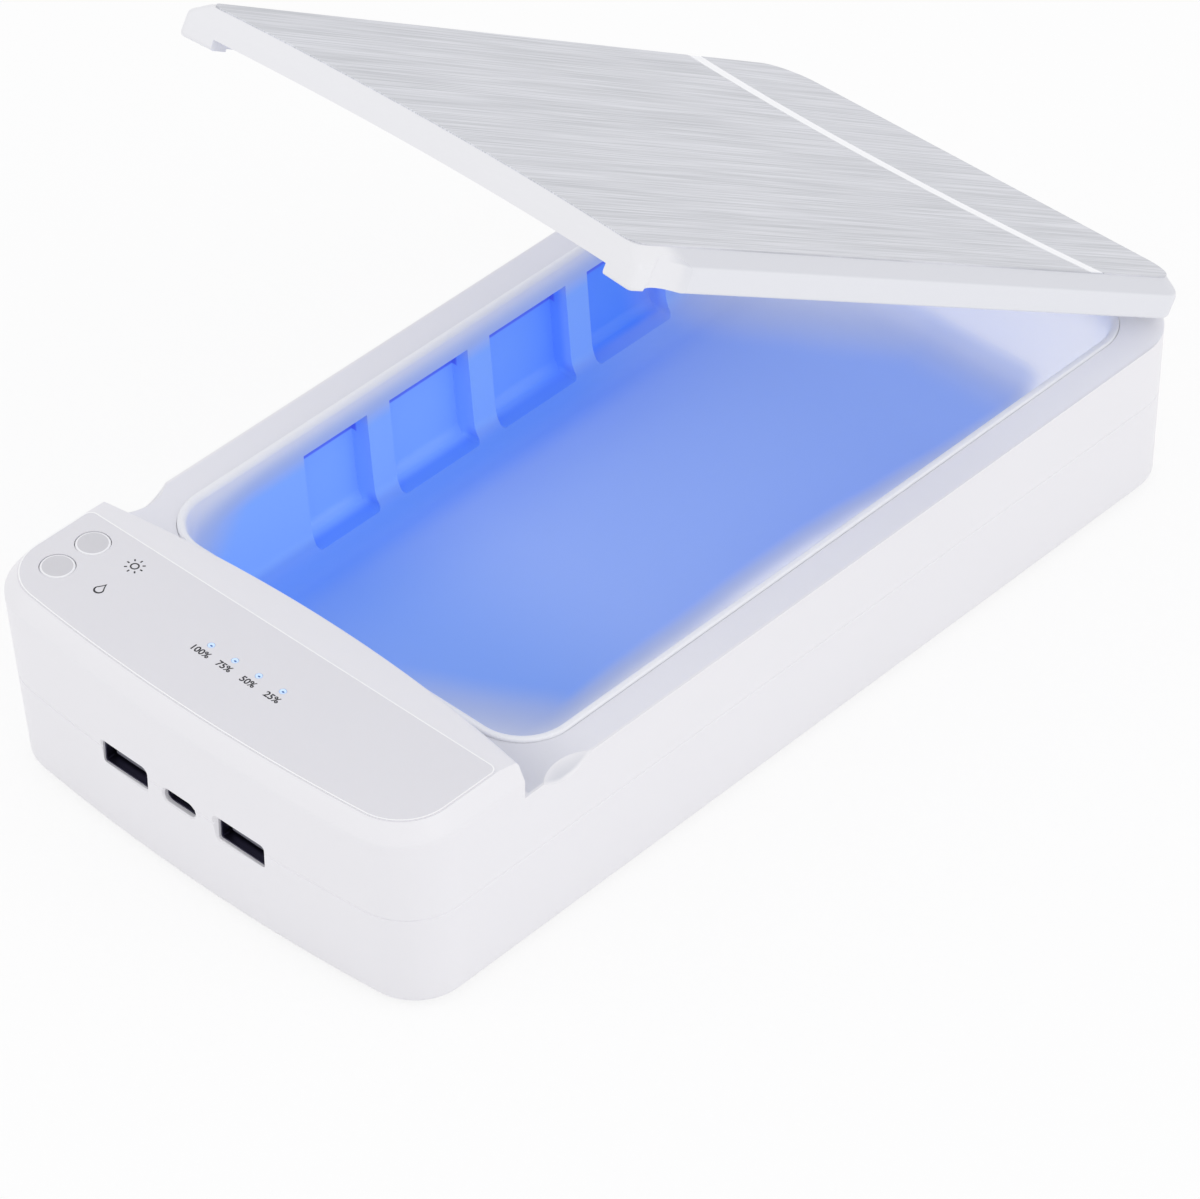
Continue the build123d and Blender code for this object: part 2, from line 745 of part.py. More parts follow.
def socket(x, size, depth, corner, riser=0.0):
    """Folded metal shell of a socket, its mouth at the front wall."""
    mouth = Plane(origin=(x, socket_y, port_z), x_dir=(1, 0, 0), z_dir=(0, -1, 0))
    with BuildPart() as can:
        with BuildSketch(mouth):
            RectangleRounded(size[0], size[1], corner)
        extrude(amount=-depth)
        with BuildSketch(mouth):
            RectangleRounded(size[0] - 2 * socket_wall, size[1] - 2 * socket_wall, corner - socket_wall / 2)
        extrude(amount=-(depth - socket_wall), mode=Mode.SUBTRACT)
        if riser:
            with Locations(*[
                (x + side * (size[0] / 2 - socket_leg), socket_y + (depth + socket_leg) / 2, board_top)
                for side in (1, -1)
            ]):
                Box(
                    socket_leg,
                    depth - 3 * socket_leg,
                    riser + corner,
                    align=(Align.CENTER, Align.CENTER, Align.MIN),
                )
            with BuildSketch(mouth):
                RectangleRounded(
                    size[0] - 2 * socket_wall, size[1] - 2 * socket_wall, corner - socket_wall / 2
                )
            extrude(amount=-(depth - socket_wall), mode=Mode.SUBTRACT)
    return can


def tongue(x, size, depth, rise=0.0):
    """Contact carrier inside a socket, held at its rear."""
    rear = socket_y + depth - socket_wall
    with BuildPart() as carrier:
        with Locations((x, rear - size[1] / 2, port_z + rise)):
            Box(size[0], size[1], size[2])
    return carrier


for x, side in zip(usb_a_xs, ("left", "right")):
    save(socket(x, usb_a_size, usb_a_depth, usb_a_corner), f"usb_a_socket_{side}")
    save(tongue(x, usb_a_tongue, usb_a_depth, -usb_a_tongue_drop), f"usb_a_tongue_{side}")

usb_c_low = port_z - usb_c_size[1] / 2
save(socket(usb_c_x, usb_c_size, usb_c_depth, usb_c_corner, usb_c_low - board_top), "usb_c_socket")
save(tongue(usb_c_x, usb_c_tongue, usb_c_depth), "usb_c_tongue")

with BuildPart() as control_chip:
    with Locations((*chip_xy, board_top)):
        Box(*chip_size, align=(Align.CENTER, Align.CENTER, Align.MIN))
save(control_chip, "control_chip")

with BuildPart() as boost_coil:
    with Locations((*coil_xy, board_top)):
        Box(*coil_size, align=(Align.CENTER, Align.CENTER, Align.MIN))
    fillet(boost_coil.edges().filter_by(Axis.Z), coil_corner)
save(boost_coil, "boost_coil")

with BuildPart() as buffer_capacitor:
    add(posts([capacitor_xy], capacitor_r, board_top, board_top + capacitor_height))
    fillet(buffer_capacitor.faces().sort_by(Axis.Z)[-1].edges(), capacitor_edge_r)
save(buffer_capacitor, "buffer_capacitor")

# Battery
with BuildPart() as battery_pack:
    with Locations((0, battery_y, floor_z)):
        Box(*battery_size, align=(Align.CENTER, Align.CENTER, Align.MIN))
    fillet(battery_pack.edges().filter_by(Axis.X), battery_edge_r)
save(battery_pack, "battery_pack")

# Lamp strips over the pockets
strip_low, strip_high = strip_span()

for side, label in ((1, "right"), (-1, "left")):
    with BuildPart() as lamp_board:
        with Locations((side * strip_x, (strip_low + strip_high) / 2, strip_z)):
            Box(
                strip_width,
                strip_high - strip_low,
                strip_thick,
                align=(Align.CENTER, Align.CENTER, Align.MIN),
            )
    save(lamp_board, f"lamp_board_{label}")

    with BuildPart() as lamps:
        with Locations(*[(side * strip_x, (near + far) / 2, lamp_z) for near, far in pocket_spans()]):
            Box(lamp_size, lamp_size, lamp_height, align=(Align.CENTER, Align.CENTER, Align.MIN))
    save(lamps, f"lamps_{label}")

# Scent unit
with BuildPart() as scent_cup:
    with BuildSketch(scent_plane):
        Circle(scent_cup_r)
    extrude(amount=scent_cup_depth)
    with BuildSketch(scent_plane):
        Circle(scent_hole_r)
    extrude(amount=scent_cup_depth - scent_cup_wall, mode=Mode.SUBTRACT)
    with BuildSketch(scent_plane):
        with Locations((-scent_lead_x, 0), (scent_lead_x, 0)):
            Circle(lead_r + scent_lead_play)
    extrude(amount=scent_cup_depth + over, mode=Mode.SUBTRACT)
save(scent_cup, "scent_cup")

heater_back = scent_cup_depth - scent_cup_wall
with BuildPart() as scent_heater:
    with BuildSketch(scent_plane.offset(heater_back - scent_heater_thick)):
        Circle(scent_hole_r - scent_play)
    extrude(amount=scent_heater_thick)
save(scent_heater, "scent_heater")

with BuildPart() as scent_pad:
    with BuildSketch(scent_plane.offset(heater_back - scent_heater_thick - scent_pad_thick)):
        Circle(scent_hole_r - 3 * scent_play)
    extrude(amount=scent_pad_thick)
save(scent_pad, "scent_pad")

wall_through = (tub_wall + (tub_lip_top - tub_seat_z) * tub_slope) * cos(radians(tub_draft))
with BuildPart() as scent_grille:
    with BuildSketch(scent_plane.offset(-wall_through - grille_flange)):
        Circle(scent_hole_r + grille_rim)
    extrude(amount=grille_flange)
    with BuildSketch(scent_plane.offset(-wall_through - grille_flange)):
        Circle(scent_hole_r - scent_play)
        Circle(scent_hole_r - scent_play - grille_tube, mode=Mode.SUBTRACT)
    extrude(amount=grille_flange + wall_through + grille_flange / 2)
    with BuildSketch(scent_plane.offset(-wall_through - 2 * grille_flange)):
        with GridLocations(1, grille_pitch, 1, grille_count):
            SlotOverall(*grille_slot)
    extrude(amount=3 * grille_flange, mode=Mode.SUBTRACT)
save(scent_grille, "scent_grille")

# Leads
with BuildPart() as scent_leads:
    for x in (-scent_lead_x, scent_lead_x):
        start = scent_plane.offset(heater_back).origin + Vector(x, 0, 0)
        turn = start + scent_plane.z_dir * scent_lead_out
        add(wire([start, turn, Vector(turn.X, turn.Y, board_top)]))
save(scent_leads, "scent_leads")

with BuildPart() as battery_leads:
    battery_end = battery_size[0] / 2
    for y in lead_ys:
        add(wire([
            (battery_end, y, lead_z),
            (battery_end + lead_out, y, lead_z),
            (battery_end + lead_out, y, board_z),
        ]))
save(battery_leads, "battery_leads")

with BuildPart() as lamp_leads:
    for side in (1, -1):
        start_x, run_x = side * lamp_lead_x, side * (strip_x + strip_width / 2 - lead_r)
        for start_y, run_z, end in zip(lamp_lead_ys, lamp_lead_zs, lamp_lead_ends):
            add(wire([
                (start_x, start_y, board_top),
                (start_x, start_y, run_z),
                (run_x, start_y, run_z),
                (run_x, strip_low + end, run_z),
                (run_x, strip_low + end, strip_z),
            ]))
save(lamp_leads, "lamp_leads")

with BuildPart() as panel_ribbon:
    with Locations((*ribbon_xy, board_top)):
        Box(*ribbon_size, panel_board_z - board_top, align=(Align.CENTER, Align.CENTER, Align.MIN))
save(panel_ribbon, "panel_ribbon")

# Fasteners and feet of the base
with BuildPart() as case_screws:
    head_low = case_seat_z - case_head
    add(posts(both_sides(case_screws_xy), case_head_r, head_low, case_seat_z))
    add(posts(both_sides(case_screws_xy), case_screw_r, head_low, case_seat_z + case_screw_length))
    with BuildSketch(Plane.XY.offset(head_low)):
        with Locations(*both_sides(case_screws_xy)):
            Rectangle(case_slot[0], case_slot[1])
            Rectangle(case_slot[1], case_slot[0])
    extrude(amount=case_slot[2], mode=Mode.SUBTRACT)
save(case_screws, "case_screws")

with BuildPart() as board_screws:
    add(posts(both_sides(board_screws_xy), small_head_r, board_top, board_top + small_head))
    add(posts(both_sides(board_screws_xy), small_screw_r, board_z - small_screw_length, board_top + small_head))
    panel_head_z = panel_board_z - small_head
    add(posts(panel_screws_xy, small_head_r, panel_head_z, panel_board_z))
    add(posts(panel_screws_xy, small_screw_r, panel_head_z, panel_board_z + small_screw_length))
save(board_screws, "board_screws")

with BuildPart() as feet:
    add(posts(both_sides(foot_places), foot_r, 0, foot_drop + foot_seat))
    fillet(feet.faces().group_by(Axis.Z)[0].edges(), foot_edge_r)
save(feet, "feet")

with BuildPart() as hinge_sleeves:
    for side in (1, -1):
        add(side_posts(side * station_x, base_barrel / 2, sleeve_r))
        add(side_posts(side * station_x, base_barrel, pin_r + pin_play), mode=Mode.SUBTRACT)
save(hinge_sleeves, "hinge_sleeves")

# Lid cover
lid_barrel_x = base_barrel / 2 + barrel_gap + lid_barrel / 2
notch_half = base_barrel / 2 + barrel_gap
pin_half = notch_half + lid_barrel - 1.5
pin_spare = 0.5             # hole past each end of a pin
lid_barrel_places = [side * station_x + turn * lid_barrel_x for side in (1, -1) for turn in (1, -1)]
cavity_inset = lid_bevel + lid_wall
bumper_places = both_sides([(bumper_x, lid_front - bow(crest_r, bumper_x) + bumper_in)])
bumper_top = lid_base + bumper_seat
grip_length = grip_back_y - lid_front + bow(crest_r, lid_half) + lid_corner


def front_hollows(play):
    """Room that the lid's hollow leaves to its scoops and lugs, and the gap between the lugs."""
    block = 2 * lid_corner
    with BuildPart() as hollows:
        for side in (1, -1):
            for inner, back_y in ((grip_x, grip_back_y), (lug_x, lug_back_y)):
                with Locations((side * (inner + lid_corner - play), back_y - grip_length / 2 + play, hinge_z)):
                    Box(block, grip_length, block)
        add(lug_gap())
    return hollows.part


def lug_gap():
    """Room between the two front lugs."""
    with BuildPart() as gap:
        with Locations((0, lid_front - lid_corner, lid_base + lug_drop)):
            Box(2 * lug_x, 3 * lid_corner, lid_corner, align=(Align.CENTER, Align.CENTER, Align.MAX))
    return gap.part


with BuildPart() as lid_room:
    extrude(lid_plan(lid_base - over, lid_wall), amount=lid_shoulder_z - lid_base + over)
    loft([lid_plan(lid_shoulder_z, lid_wall), lid_plan(lid_under, cavity_inset, lid_wall)], ruled=True)
    add(front_hollows(0), mode=Mode.SUBTRACT)

with BuildPart() as lid_cover:
    extrude(lid_plan(lid_base, 0), amount=lid_edge_z + lid_edge_steps[0][0] - lid_base)
    steps = [(lid_edge_z + rise, share) for rise, share in lid_edge_steps] + [(shell_top, 1.0)]
    loft([lid_plan(z, share * lid_bevel, share * lid_front_bevel) for z, share in steps], ruled=True)
    rear_edge = lid_cover.faces().sort_by(Axis.Z)[0].edges().sort_by(Axis.Y)[-1]
    fillet(rear_edge, lid_foot_r)
    add(lid_room.part, mode=Mode.SUBTRACT)
    add(lug_gap(), mode=Mode.SUBTRACT)
    for side in (1, -1):
        with Locations((side * scoop_x, scoop_y, rim_z)):
            Cone(
                scoop_r,
                scoop_r - scoop_lean,
                top_z - rim_z,
                align=(Align.CENTER, Align.CENTER, Align.MIN),
                mode=Mode.SUBTRACT,
            )
    for x in lid_barrel_places:
        add(side_posts(x, lid_barrel / 2, barrel_r))
    for side in (1, -1):
        add(side_posts(side * station_x, notch_half, barrel_r + barrel_room), mode=Mode.SUBTRACT)
        with Locations((side * station_x, hinge_y - barrel_r - barrel_room, hinge_z)):
            Box(
                2 * notch_half,
                rear_y - hinge_y + 3 * barrel_r,
                4 * barrel_r,
                align=(Align.CENTER, Align.MIN, Align.MAX),
                mode=Mode.SUBTRACT,
            )
        add(side_posts(side * station_x, pin_half + pin_spare, pin_r), mode=Mode.SUBTRACT)
    add(posts(both_sides(lid_screws_xy), small_screw_r + small_boss_wall, liner_top, lid_under + over / 2))
    add(
        posts(both_sides(lid_screws_xy), small_screw_r + screw_play, liner_z, liner_z + small_screw_length),
        mode=Mode.SUBTRACT,
    )
    add(posts(bumper_places, bumper_r, lid_base - over, bumper_top), mode=Mode.SUBTRACT)
save(lid_cover, "lid_cover", opened=True)

# Decor sheet and stripe on the lid
sheet_inset = lid_bevel + sheet_margin
with BuildPart() as lid_sheet:
    extrude(
        lid_plan(shell_top, sheet_inset, lid_front_bevel + sheet_margin, sheet_corner),
        amount=film_thick,
    )
    extrude(stripe_band(top_z - stripe_thick), amount=stripe_thick, mode=Mode.SUBTRACT)
save(lid_sheet, "lid_sheet", opened=True)

with BuildPart() as lid_stripe:
    extrude(stripe_band(top_z - stripe_thick), amount=stripe_thick)
    with Locations((0, tub_mid, top_z)):
        Box(2 * (lid_half - sheet_inset), length, 2 * over, mode=Mode.INTERSECT)
save(lid_stripe, "lid_stripe", opened=True)

# Lid liner and reflector
with BuildPart() as lid_liner:
    extrude(lid_plan(liner_z, lid_wall + liner_play), amount=liner_thick)
    with Locations((0, liner_rear, liner_z)):
        Box(
            2 * lid_half,
            lid_corner,
            2 * liner_thick,
            align=(Align.CENTER, Align.MIN, Align.CENTER),
            mode=Mode.SUBTRACT,
        )
    add(front_hollows(liner_play), mode=Mode.SUBTRACT)
    add(
        posts(both_sides(lid_screws_xy), small_screw_r + screw_play, liner_z - over, liner_top + over),
        mode=Mode.SUBTRACT,
    )
save(lid_liner, "lid_liner", opened=True)

reflector_low = tub_front + reflector_ends[0]
reflector_high = tub_rear - reflector_ends[1]

with BuildPart() as lid_reflector:
    with BuildSketch(Plane.XY.offset(liner_z)):
        with Locations((0, (reflector_low + reflector_high) / 2)):
            RectangleRounded(2 * reflector_half, reflector_high - reflector_low, reflector_corner)
    extrude(amount=-reflector_thick)
save(lid_reflector, "lid_reflector", opened=True)

# Small pieces of the lid
with BuildPart() as lid_magnet:
    with Locations((magnet_x, magnet_y, liner_top)):
        Box(*magnet_size, align=(Align.CENTER, Align.CENTER, Align.MIN))
save(lid_magnet, "lid_magnet", opened=True)

with BuildPart() as lid_screws:
    lid_screw_tip = liner_z + small_screw_length - over / 2
    add(posts(both_sides(lid_screws_xy), small_head_r, liner_z - small_head, liner_z))
    add(posts(both_sides(lid_screws_xy), small_screw_r, liner_z - small_head, lid_screw_tip))
save(lid_screws, "lid_screws", opened=True)

with BuildPart() as lid_bumpers:
    add(posts(bumper_places, bumper_r, bumper_top - bumper_thick, bumper_top))
save(lid_bumpers, "lid_bumpers", opened=True)

with BuildPart() as hinge_pins:
    for side in (1, -1):
        add(side_posts(side * station_x, pin_half, pin_r))
save(hinge_pins, "hinge_pins", opened=True)
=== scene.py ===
import json
import math

import bmesh
import bpy
from mathutils import Matrix, Vector

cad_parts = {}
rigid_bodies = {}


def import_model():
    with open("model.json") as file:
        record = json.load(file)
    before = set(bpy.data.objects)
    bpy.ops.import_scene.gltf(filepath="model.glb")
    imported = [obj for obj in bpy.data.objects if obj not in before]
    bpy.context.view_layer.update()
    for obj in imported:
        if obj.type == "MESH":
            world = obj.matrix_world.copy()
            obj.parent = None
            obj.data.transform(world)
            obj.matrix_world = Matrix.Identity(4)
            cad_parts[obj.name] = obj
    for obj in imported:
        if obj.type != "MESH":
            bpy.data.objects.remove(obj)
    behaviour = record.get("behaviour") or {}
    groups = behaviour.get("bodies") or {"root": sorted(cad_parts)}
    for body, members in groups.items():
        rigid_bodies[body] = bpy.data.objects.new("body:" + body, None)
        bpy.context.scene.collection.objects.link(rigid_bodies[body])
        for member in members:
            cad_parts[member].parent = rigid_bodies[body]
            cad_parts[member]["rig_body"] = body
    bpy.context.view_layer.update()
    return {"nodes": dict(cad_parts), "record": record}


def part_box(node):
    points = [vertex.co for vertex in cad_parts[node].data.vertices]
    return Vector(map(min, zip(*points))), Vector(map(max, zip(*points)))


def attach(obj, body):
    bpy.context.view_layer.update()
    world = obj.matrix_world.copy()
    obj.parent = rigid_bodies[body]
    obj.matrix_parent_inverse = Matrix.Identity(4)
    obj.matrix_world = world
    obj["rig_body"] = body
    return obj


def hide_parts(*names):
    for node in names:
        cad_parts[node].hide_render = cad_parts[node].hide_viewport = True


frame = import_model()
mm = 0.001
black = (0.0, 0.0, 0.0, 1.0)
white = (1.0, 1.0, 1.0, 1.0)
scene = bpy.context.scene
print("frame loaded:", len(frame["nodes"]), "nodes")


# camera
cameraSet = {
    "azimuth": 42.96,  # degrees to the right of the control panel
    "elevation": 40.79,
    "roll": 0.10,
    "distance": 1.3227,
    "target": (0.0, -0.0015, 0.0),
    "lens": 179.57,
    "shift": (0.0033, 0.0105),
    "clip": (0.05, 50.0),
}


def placeCamera(options):
    azimuth, elevation = (math.radians(options[key]) for key in ("azimuth", "elevation"))
    back = Vector((
        math.sin(azimuth) * math.cos(elevation),
        -math.cos(azimuth) * math.cos(elevation),
        math.sin(elevation),
    ))
    roll = Matrix.Rotation(math.radians(options["roll"]), 3, "Z").to_quaternion()
    camera = bpy.data.objects.new("camera", bpy.data.cameras.new("camera"))
    scene.collection.objects.link(camera)
    camera.rotation_mode = "QUATERNION"
    camera.rotation_quaternion = (-back).to_track_quat("-Z", "Y") @ roll
    camera.location = Vector(options["target"]) + back * options["distance"]
    camera.data.lens = options["lens"]
    camera.data.shift_x, camera.data.shift_y = options["shift"]
    camera.data.clip_start, camera.data.clip_end = options["clip"]
    scene.camera = camera


placeCamera(cameraSet)
scene.view_settings.view_transform = "Standard"
print("camera placed")


# shader writing
def tint(color, factor=1.0):  # a display colour of 0 to 255 as linear light
    linear = []
    for channel in color:
        value = channel / 255
        value = value / 12.92 if value <= 0.04045 else ((value + 0.055) / 1.055) ** 2.4
        linear.append(value * factor)
    return (*linear, 1.0)


class Wire:  # a node's output that can stand in a sum
    def __init__(self, bench, socket):
        self.bench = bench
        self.socket = socket

    def maths(self, operation, first, second):
        return self.bench.add("ShaderNodeMath", {"operation": operation}, {0: first, 1: second})

    def __add__(self, other):
        return self.maths("ADD", self, other)

    def __sub__(self, other):
        return self.maths("SUBTRACT", self, other)

    def __rsub__(self, other):
        return self.maths("SUBTRACT", other, self)

    def __mul__(self, other):
        return self.maths("MULTIPLY", self, other)

    def __truediv__(self, other):
        return self.maths("DIVIDE", self, other)

    def __pow__(self, other):
        return self.maths("POWER", self, other)

    def __abs__(self):
        return self.maths("ABSOLUTE", self, 0.0)

    __radd__ = __add__
    __rmul__ = __mul__

    def smooth(self, low, high):  # 0 at low, 1 at high
        return self.bench.add(
            "ShaderNodeMapRange",
            {"interpolation_type": "SMOOTHSTEP"},
            {"Value": self, "From Min": low, "From Max": high},
        )

    def swing(self, reach):  # a noise of 0 to 1 turned to either side of zero
        return (self - 0.5) * reach

    def rounded(self):
        return self.maths("ROUND", self, 0.0)

    def least(self, other):
        return self.maths("MINIMUM", self, other)

    def most(self, other):
        return self.maths("MAXIMUM", self, other)


class Bench:  # writes one node tree
    def __init__(self, tree):
        self.tree = tree
        tree.nodes.clear()

    def add(self, kind, settings=None, sockets=None, out=0):
        node = self.tree.nodes.new(kind)
        for key, value in (settings or {}).items():
            setattr(node, key, value)
        for key, value in (sockets or {}).items():
            if isinstance(value, Wire):
                self.tree.links.new(value.socket, node.inputs[key])
            else:
                node.inputs[key].default_value = value
        return Wire(self, node.outputs[out]) if node.outputs else node

    def mix(self, factor, first, second):
        sockets = {0: factor, 6: first, 7: second}
        return self.add("ShaderNodeMix", {"data_type": "RGBA"}, sockets, out=2)

    def mottle(self, factor, color, spread):  # a colour between two strengths of itself
        return self.mix(factor, tint(color, spread[0]), tint(color, spread[1]))

    def place(self):  # a point in its object's own metres
        return self.add("ShaderNodeTexCoord", out=3)

    def axes(self, vector):
        first = self.add("ShaderNodeSeparateXYZ", {}, {0: vector})
        outputs = first.socket.node.outputs
        return [Wire(self, outputs[index]) for index in range(3)]

    def joined(self, x, y, z):
        return self.add("ShaderNodeCombineXYZ", {}, {0: x, 1: y, 2: z})

    def noise(self, vector, scale, detail=2.0, roughness=0.5):
        sockets = {"Vector": vector, "Scale": scale, "Detail": detail, "Roughness": roughness}
        return self.add("ShaderNodeTexNoise", {}, sockets)

    def bump(self, height, strength, distance):
        sockets = {"Height": height, "Strength": strength, "Distance": distance}
        return self.add("ShaderNodeBump", {}, sockets)

    def seenBy(self, *rays):  # 1 for light paths of any of these kinds
        path = self.add("ShaderNodeLightPath").socket.node.outputs
        seen = Wire(self, path[rays[0]])
        for ray in rays[1:]:
            seen = seen.most(Wire(self, path[ray]))
        return seen


def surface(options, fill):
    material = bpy.data.materials.new(options["name"])
    material.use_nodes = True
    bench = Bench(material.node_tree)
    sockets = fill(bench, bench.place())
    shader = bench.add("ShaderNodeBsdfPrincipled", {}, sockets)
    bench.add("ShaderNodeOutputMaterial", {}, {"Surface": shader})
    return material


# finishes
lidPlace = {"hingeY": 0.1255, "hingeZ": 0.0475, "angle": 31.35}  # the lid at rest


def closedHeight(y, z):  # height of a point on the lid once the lid is closed
    hingeY, hingeZ, angle = lidPlace["hingeY"], lidPlace["hingeZ"], math.radians(lidPlace["angle"])
    return (y - hingeY) * math.sin(angle) + (z - hingeZ) * math.cos(angle) + hingeZ


# painted shade: the lid's long side bevels and its sides get darker colours than its top, standing
# in for how the light falls on them
def lidShade(bench, place, color, options):  # the lid's long bevels and sides
    x, y, z = bench.axes(place)
    behind = y.smooth(*options["bevelFade"])
    side = abs(x).smooth(*options["sideEdge"]) * behind
    bevelShade = closedHeight(y, z).smooth(*options["bevelFoot"]) * abs(x).smooth(*options["bevelEdge"])
    color = bench.mix(side, color, tint(options["sideColor"]))
    return {"Base Color": bench.mix(bevelShade * behind, color, tint(options["bevelColor"]))}


# painted shade and painted light: the rim top a little darker than the shell, a painted shadow in
# the nook beside the controls, the finger scoops painted darker towards their bottom, and a faint
# painted glow on the rear of the rim where the lid shades it
def rimShade(bench, place, color, options):  # the flat rim, its nook and the finger scoops
    x, y, z = bench.axes(place)
    rim = z.smooth(*options["rimFoot"]) * (1 - z.smooth(*options["rimTop"]))
    rim = rim * (1 - abs(x).smooth(*options["rimEdge"])) * y.smooth(*options["rimStart"])
    rear = rim * y.smooth(*options["rearFade"])
    nook = (1 - y.smooth(*options["nookEnd"])) * x.smooth(*options["nookSide"])
    top = bench.mix(nook, tint(options["rimColor"]), tint(options["nookColor"]))
    scoopX, scoopY = options["scoopCenter"]
    reach = ((abs(x) - scoopX) ** 2 + (y - scoopY) ** 2) ** 0.5
    scoop = (1 - reach.smooth(*options["scoopReach"])) * z.smooth(*options["scoopFoot"])
    scoop = scoop * (1 - abs(x).smooth(*options["scoopEdge"]))
    scoopShade = bench.mix(z.smooth(*options["scoopFade"]), tint(options["scoopColor"]), color)
    return {
        "Base Color": bench.mix(scoop, bench.mix(rim, color, top), scoopShade),
        "Emission Color": bench.mix(rear, black, tint(options["rearGlow"])),
        "Emission Strength": options["strength"],
    }


mouldedSet = {
    "mottle": (0.975, 1.02), "cloudDetail": 3.0, "grainDetail": 2.0, "grainMix": 0.6,
    "cloudSwing": 0.08, "grainSwing": 0.05, "grainDepth": 0.00004,
}


def mouldedPlastic(options):
    options = {**mouldedSet, **options}

    def fill(bench, place):
        cloud = bench.noise(place, options["cloudScale"], options["cloudDetail"])
        grain = bench.noise(
            place, options["grainScale"], options["grainDetail"], options["grainMix"]
        )
        color = bench.mottle(cloud, options["color"], options["mottle"])
        roughness = options["roughness"] + cloud.swing(options["cloudSwing"])
        sockets = {
            "Base Color": color,
            "Roughness": roughness + grain.swing(options["grainSwing"]),
            "Normal": bench.bump(grain, options["grainStrength"], options["grainDepth"]),
        }
        if "shade" in options:
            sockets.update(options["shade"](bench, place, color, options))
        return sockets
    return surface(options, fill)


# painted light: the lamps' blue glow painted into the tub's colour and emission, deepest in the
# wall pockets and at the foot of the walls, with a haze band where it fades to the tub's own white
# towards the right, front and rear; painted pale light under the lid and on the back wall, and a
# painted shadow line under each pocket roof
def litTub(options):
    def fill(bench, place):
        x, y, z = bench.axes(place)
        grain = bench.noise(place, options["grainScale"])
        drift = bench.noise(place, options["driftScale"]).swing(options["drift"])
        depth = (options["rimHeight"] - z).smooth(*options["depthFade"])
        height = (z - options["floorHeight"]).most(0.0)
        floor = 1 - height.smooth(0.0, options["floorEdge"])
        inset = abs(x) - options["footHalf"] - z * options["wallSlope"]
        pocket = inset.smooth(*options["pocketFade"])
        bowed = x - abs(y - options["rightMiddle"]) * options["rightBow"]
        right = (bowed + drift).smooth(*options["rightFade"]) * (1 - pocket)
        leaning = y - x * options["frontSkew"] - height * options["frontRise"]
        front = 1 - (leaning + drift).smooth(*options["frontFade"])
        rear = (y - x.least(0.0) * options["rearSkew"] + drift).smooth(*options["rearFade"])
        back = y.smooth(*options["backFade"])
        backTop = back * (z + drift * options["backDrift"]).smooth(*options["backHeight"])
        glow = depth * (1 - right) * (1 - front * options["frontShare"])
        glow = glow * (1 - rear * options["rearShare"]) * (1 - backTop)
        foot = 1 - y.smooth(*options["footEnd"]) * options["footShare"]
        foot = abs(x).smooth(*options["footFade"]) * floor * foot
        middle = y.smooth(*options["middleFade"])
        blue = bench.mix(middle, tint(options["frontBlue"]), tint(options["blue"]))
        blue = bench.mix(floor, tint(options["wallBlue"]), blue)
        blue = bench.mix(foot, blue, tint(options["footBlue"]))
        far = y.smooth(*options["farFade"])
        deep = bench.mix(far, tint(options["nearBlue"]), tint(options["farBlue"]))
        # painted shadow: a darker blue line just under each pocket roof
        roofShadow = z.smooth(*options["roofShadow"]) * inset.smooth(*options["roofInset"])
        deep = bench.mix(roofShadow, deep, tint(options["roofShadowBlue"]))
        blue = bench.mix(pocket, blue, deep)
        shade = y.smooth(*options["shadeFade"]) * depth
        pale = bench.mix(shade, black, tint(options["shadeGlow"]))
        backGlow = tint(options["backGlow"], options["backStrength"])
        pale = bench.mix(back * depth, pale, backGlow)
        haze = glow * (1 - glow) * options["haze"]
        color = bench.mix(glow, tint(options["white"]), blue)
        light = bench.mix(glow, pale, blue)
        return {
            "Base Color": bench.mix(haze, color, tint(options["hazeBlue"])),
            "Roughness": options["roughness"] + grain.swing(options["roughSwing"]),
            "Emission Color": bench.mix(haze, light, tint(options["hazeBlue"])),
            "Emission Strength": options["strength"],
            "Normal": bench.bump(grain, options["grainStrength"], options["grainDepth"]),
        }
    return surface(options, fill)


def brushedSheet(options):
    def fill(bench, place):
        x, y, z = bench.axes(place)
        lean = math.radians(lidPlace["angle"])
        along = y * math.cos(lean) - z * math.sin(lean)
        streaks = []
        for across, length, detail in options["layers"]:
            vector = bench.joined(x * (1 / across), along * (1 / length), 0.0)
            streaks.append(bench.noise(vector, 1.0, detail, options["streakMix"]))
        fine, middle, broad = (
            streak * share for streak, share in zip(streaks, options["shares"])
        )
        blend = (fine + middle + broad).smooth(*options["blendFade"])
        return {
            "Base Color": bench.mix(blend, tint(options["dark"]), tint(options["pale"])),
            "Metallic": options["metallic"],
            "Roughness": options["roughness"] + streaks[1].swing(options["roughSwing"]),
            "Normal": bench.bump(streaks[0], options["grainStrength"], options["grainDepth"]),
        }
    return surface(options, fill)


silkSet = {
    "metallic": 0.0, "coat": 0.0, "glow": (0, 0, 0), "strength": 0.0, "mottle": (0.985, 1.015),
    "grainScale": 5200.0, "cloudScale": 14.0, "roughSwing": 0.12,
    "grainStrength": 0.05, "grainDepth": 0.00002,
}


def silkFilm(options):
    options = {**silkSet, **options}

    def fill(bench, place):
        grain = bench.noise(place, options["grainScale"])
        cloud = bench.noise(place, options["cloudScale"])
        return {
            "Base Color": bench.mottle(cloud, options["color"], options["mottle"]),
            "Roughness": options["roughness"] + grain.swing(options["roughSwing"]),
            "Metallic": options["metallic"],
            "Coat Weight": options["coat"],
            "Emission Color": tint(options["glow"]),
            "Emission Strength": options["strength"],
            "Normal": bench.bump(grain, options["grainStrength"], options["grainDepth"]),
        }
    return surface(options, fill)


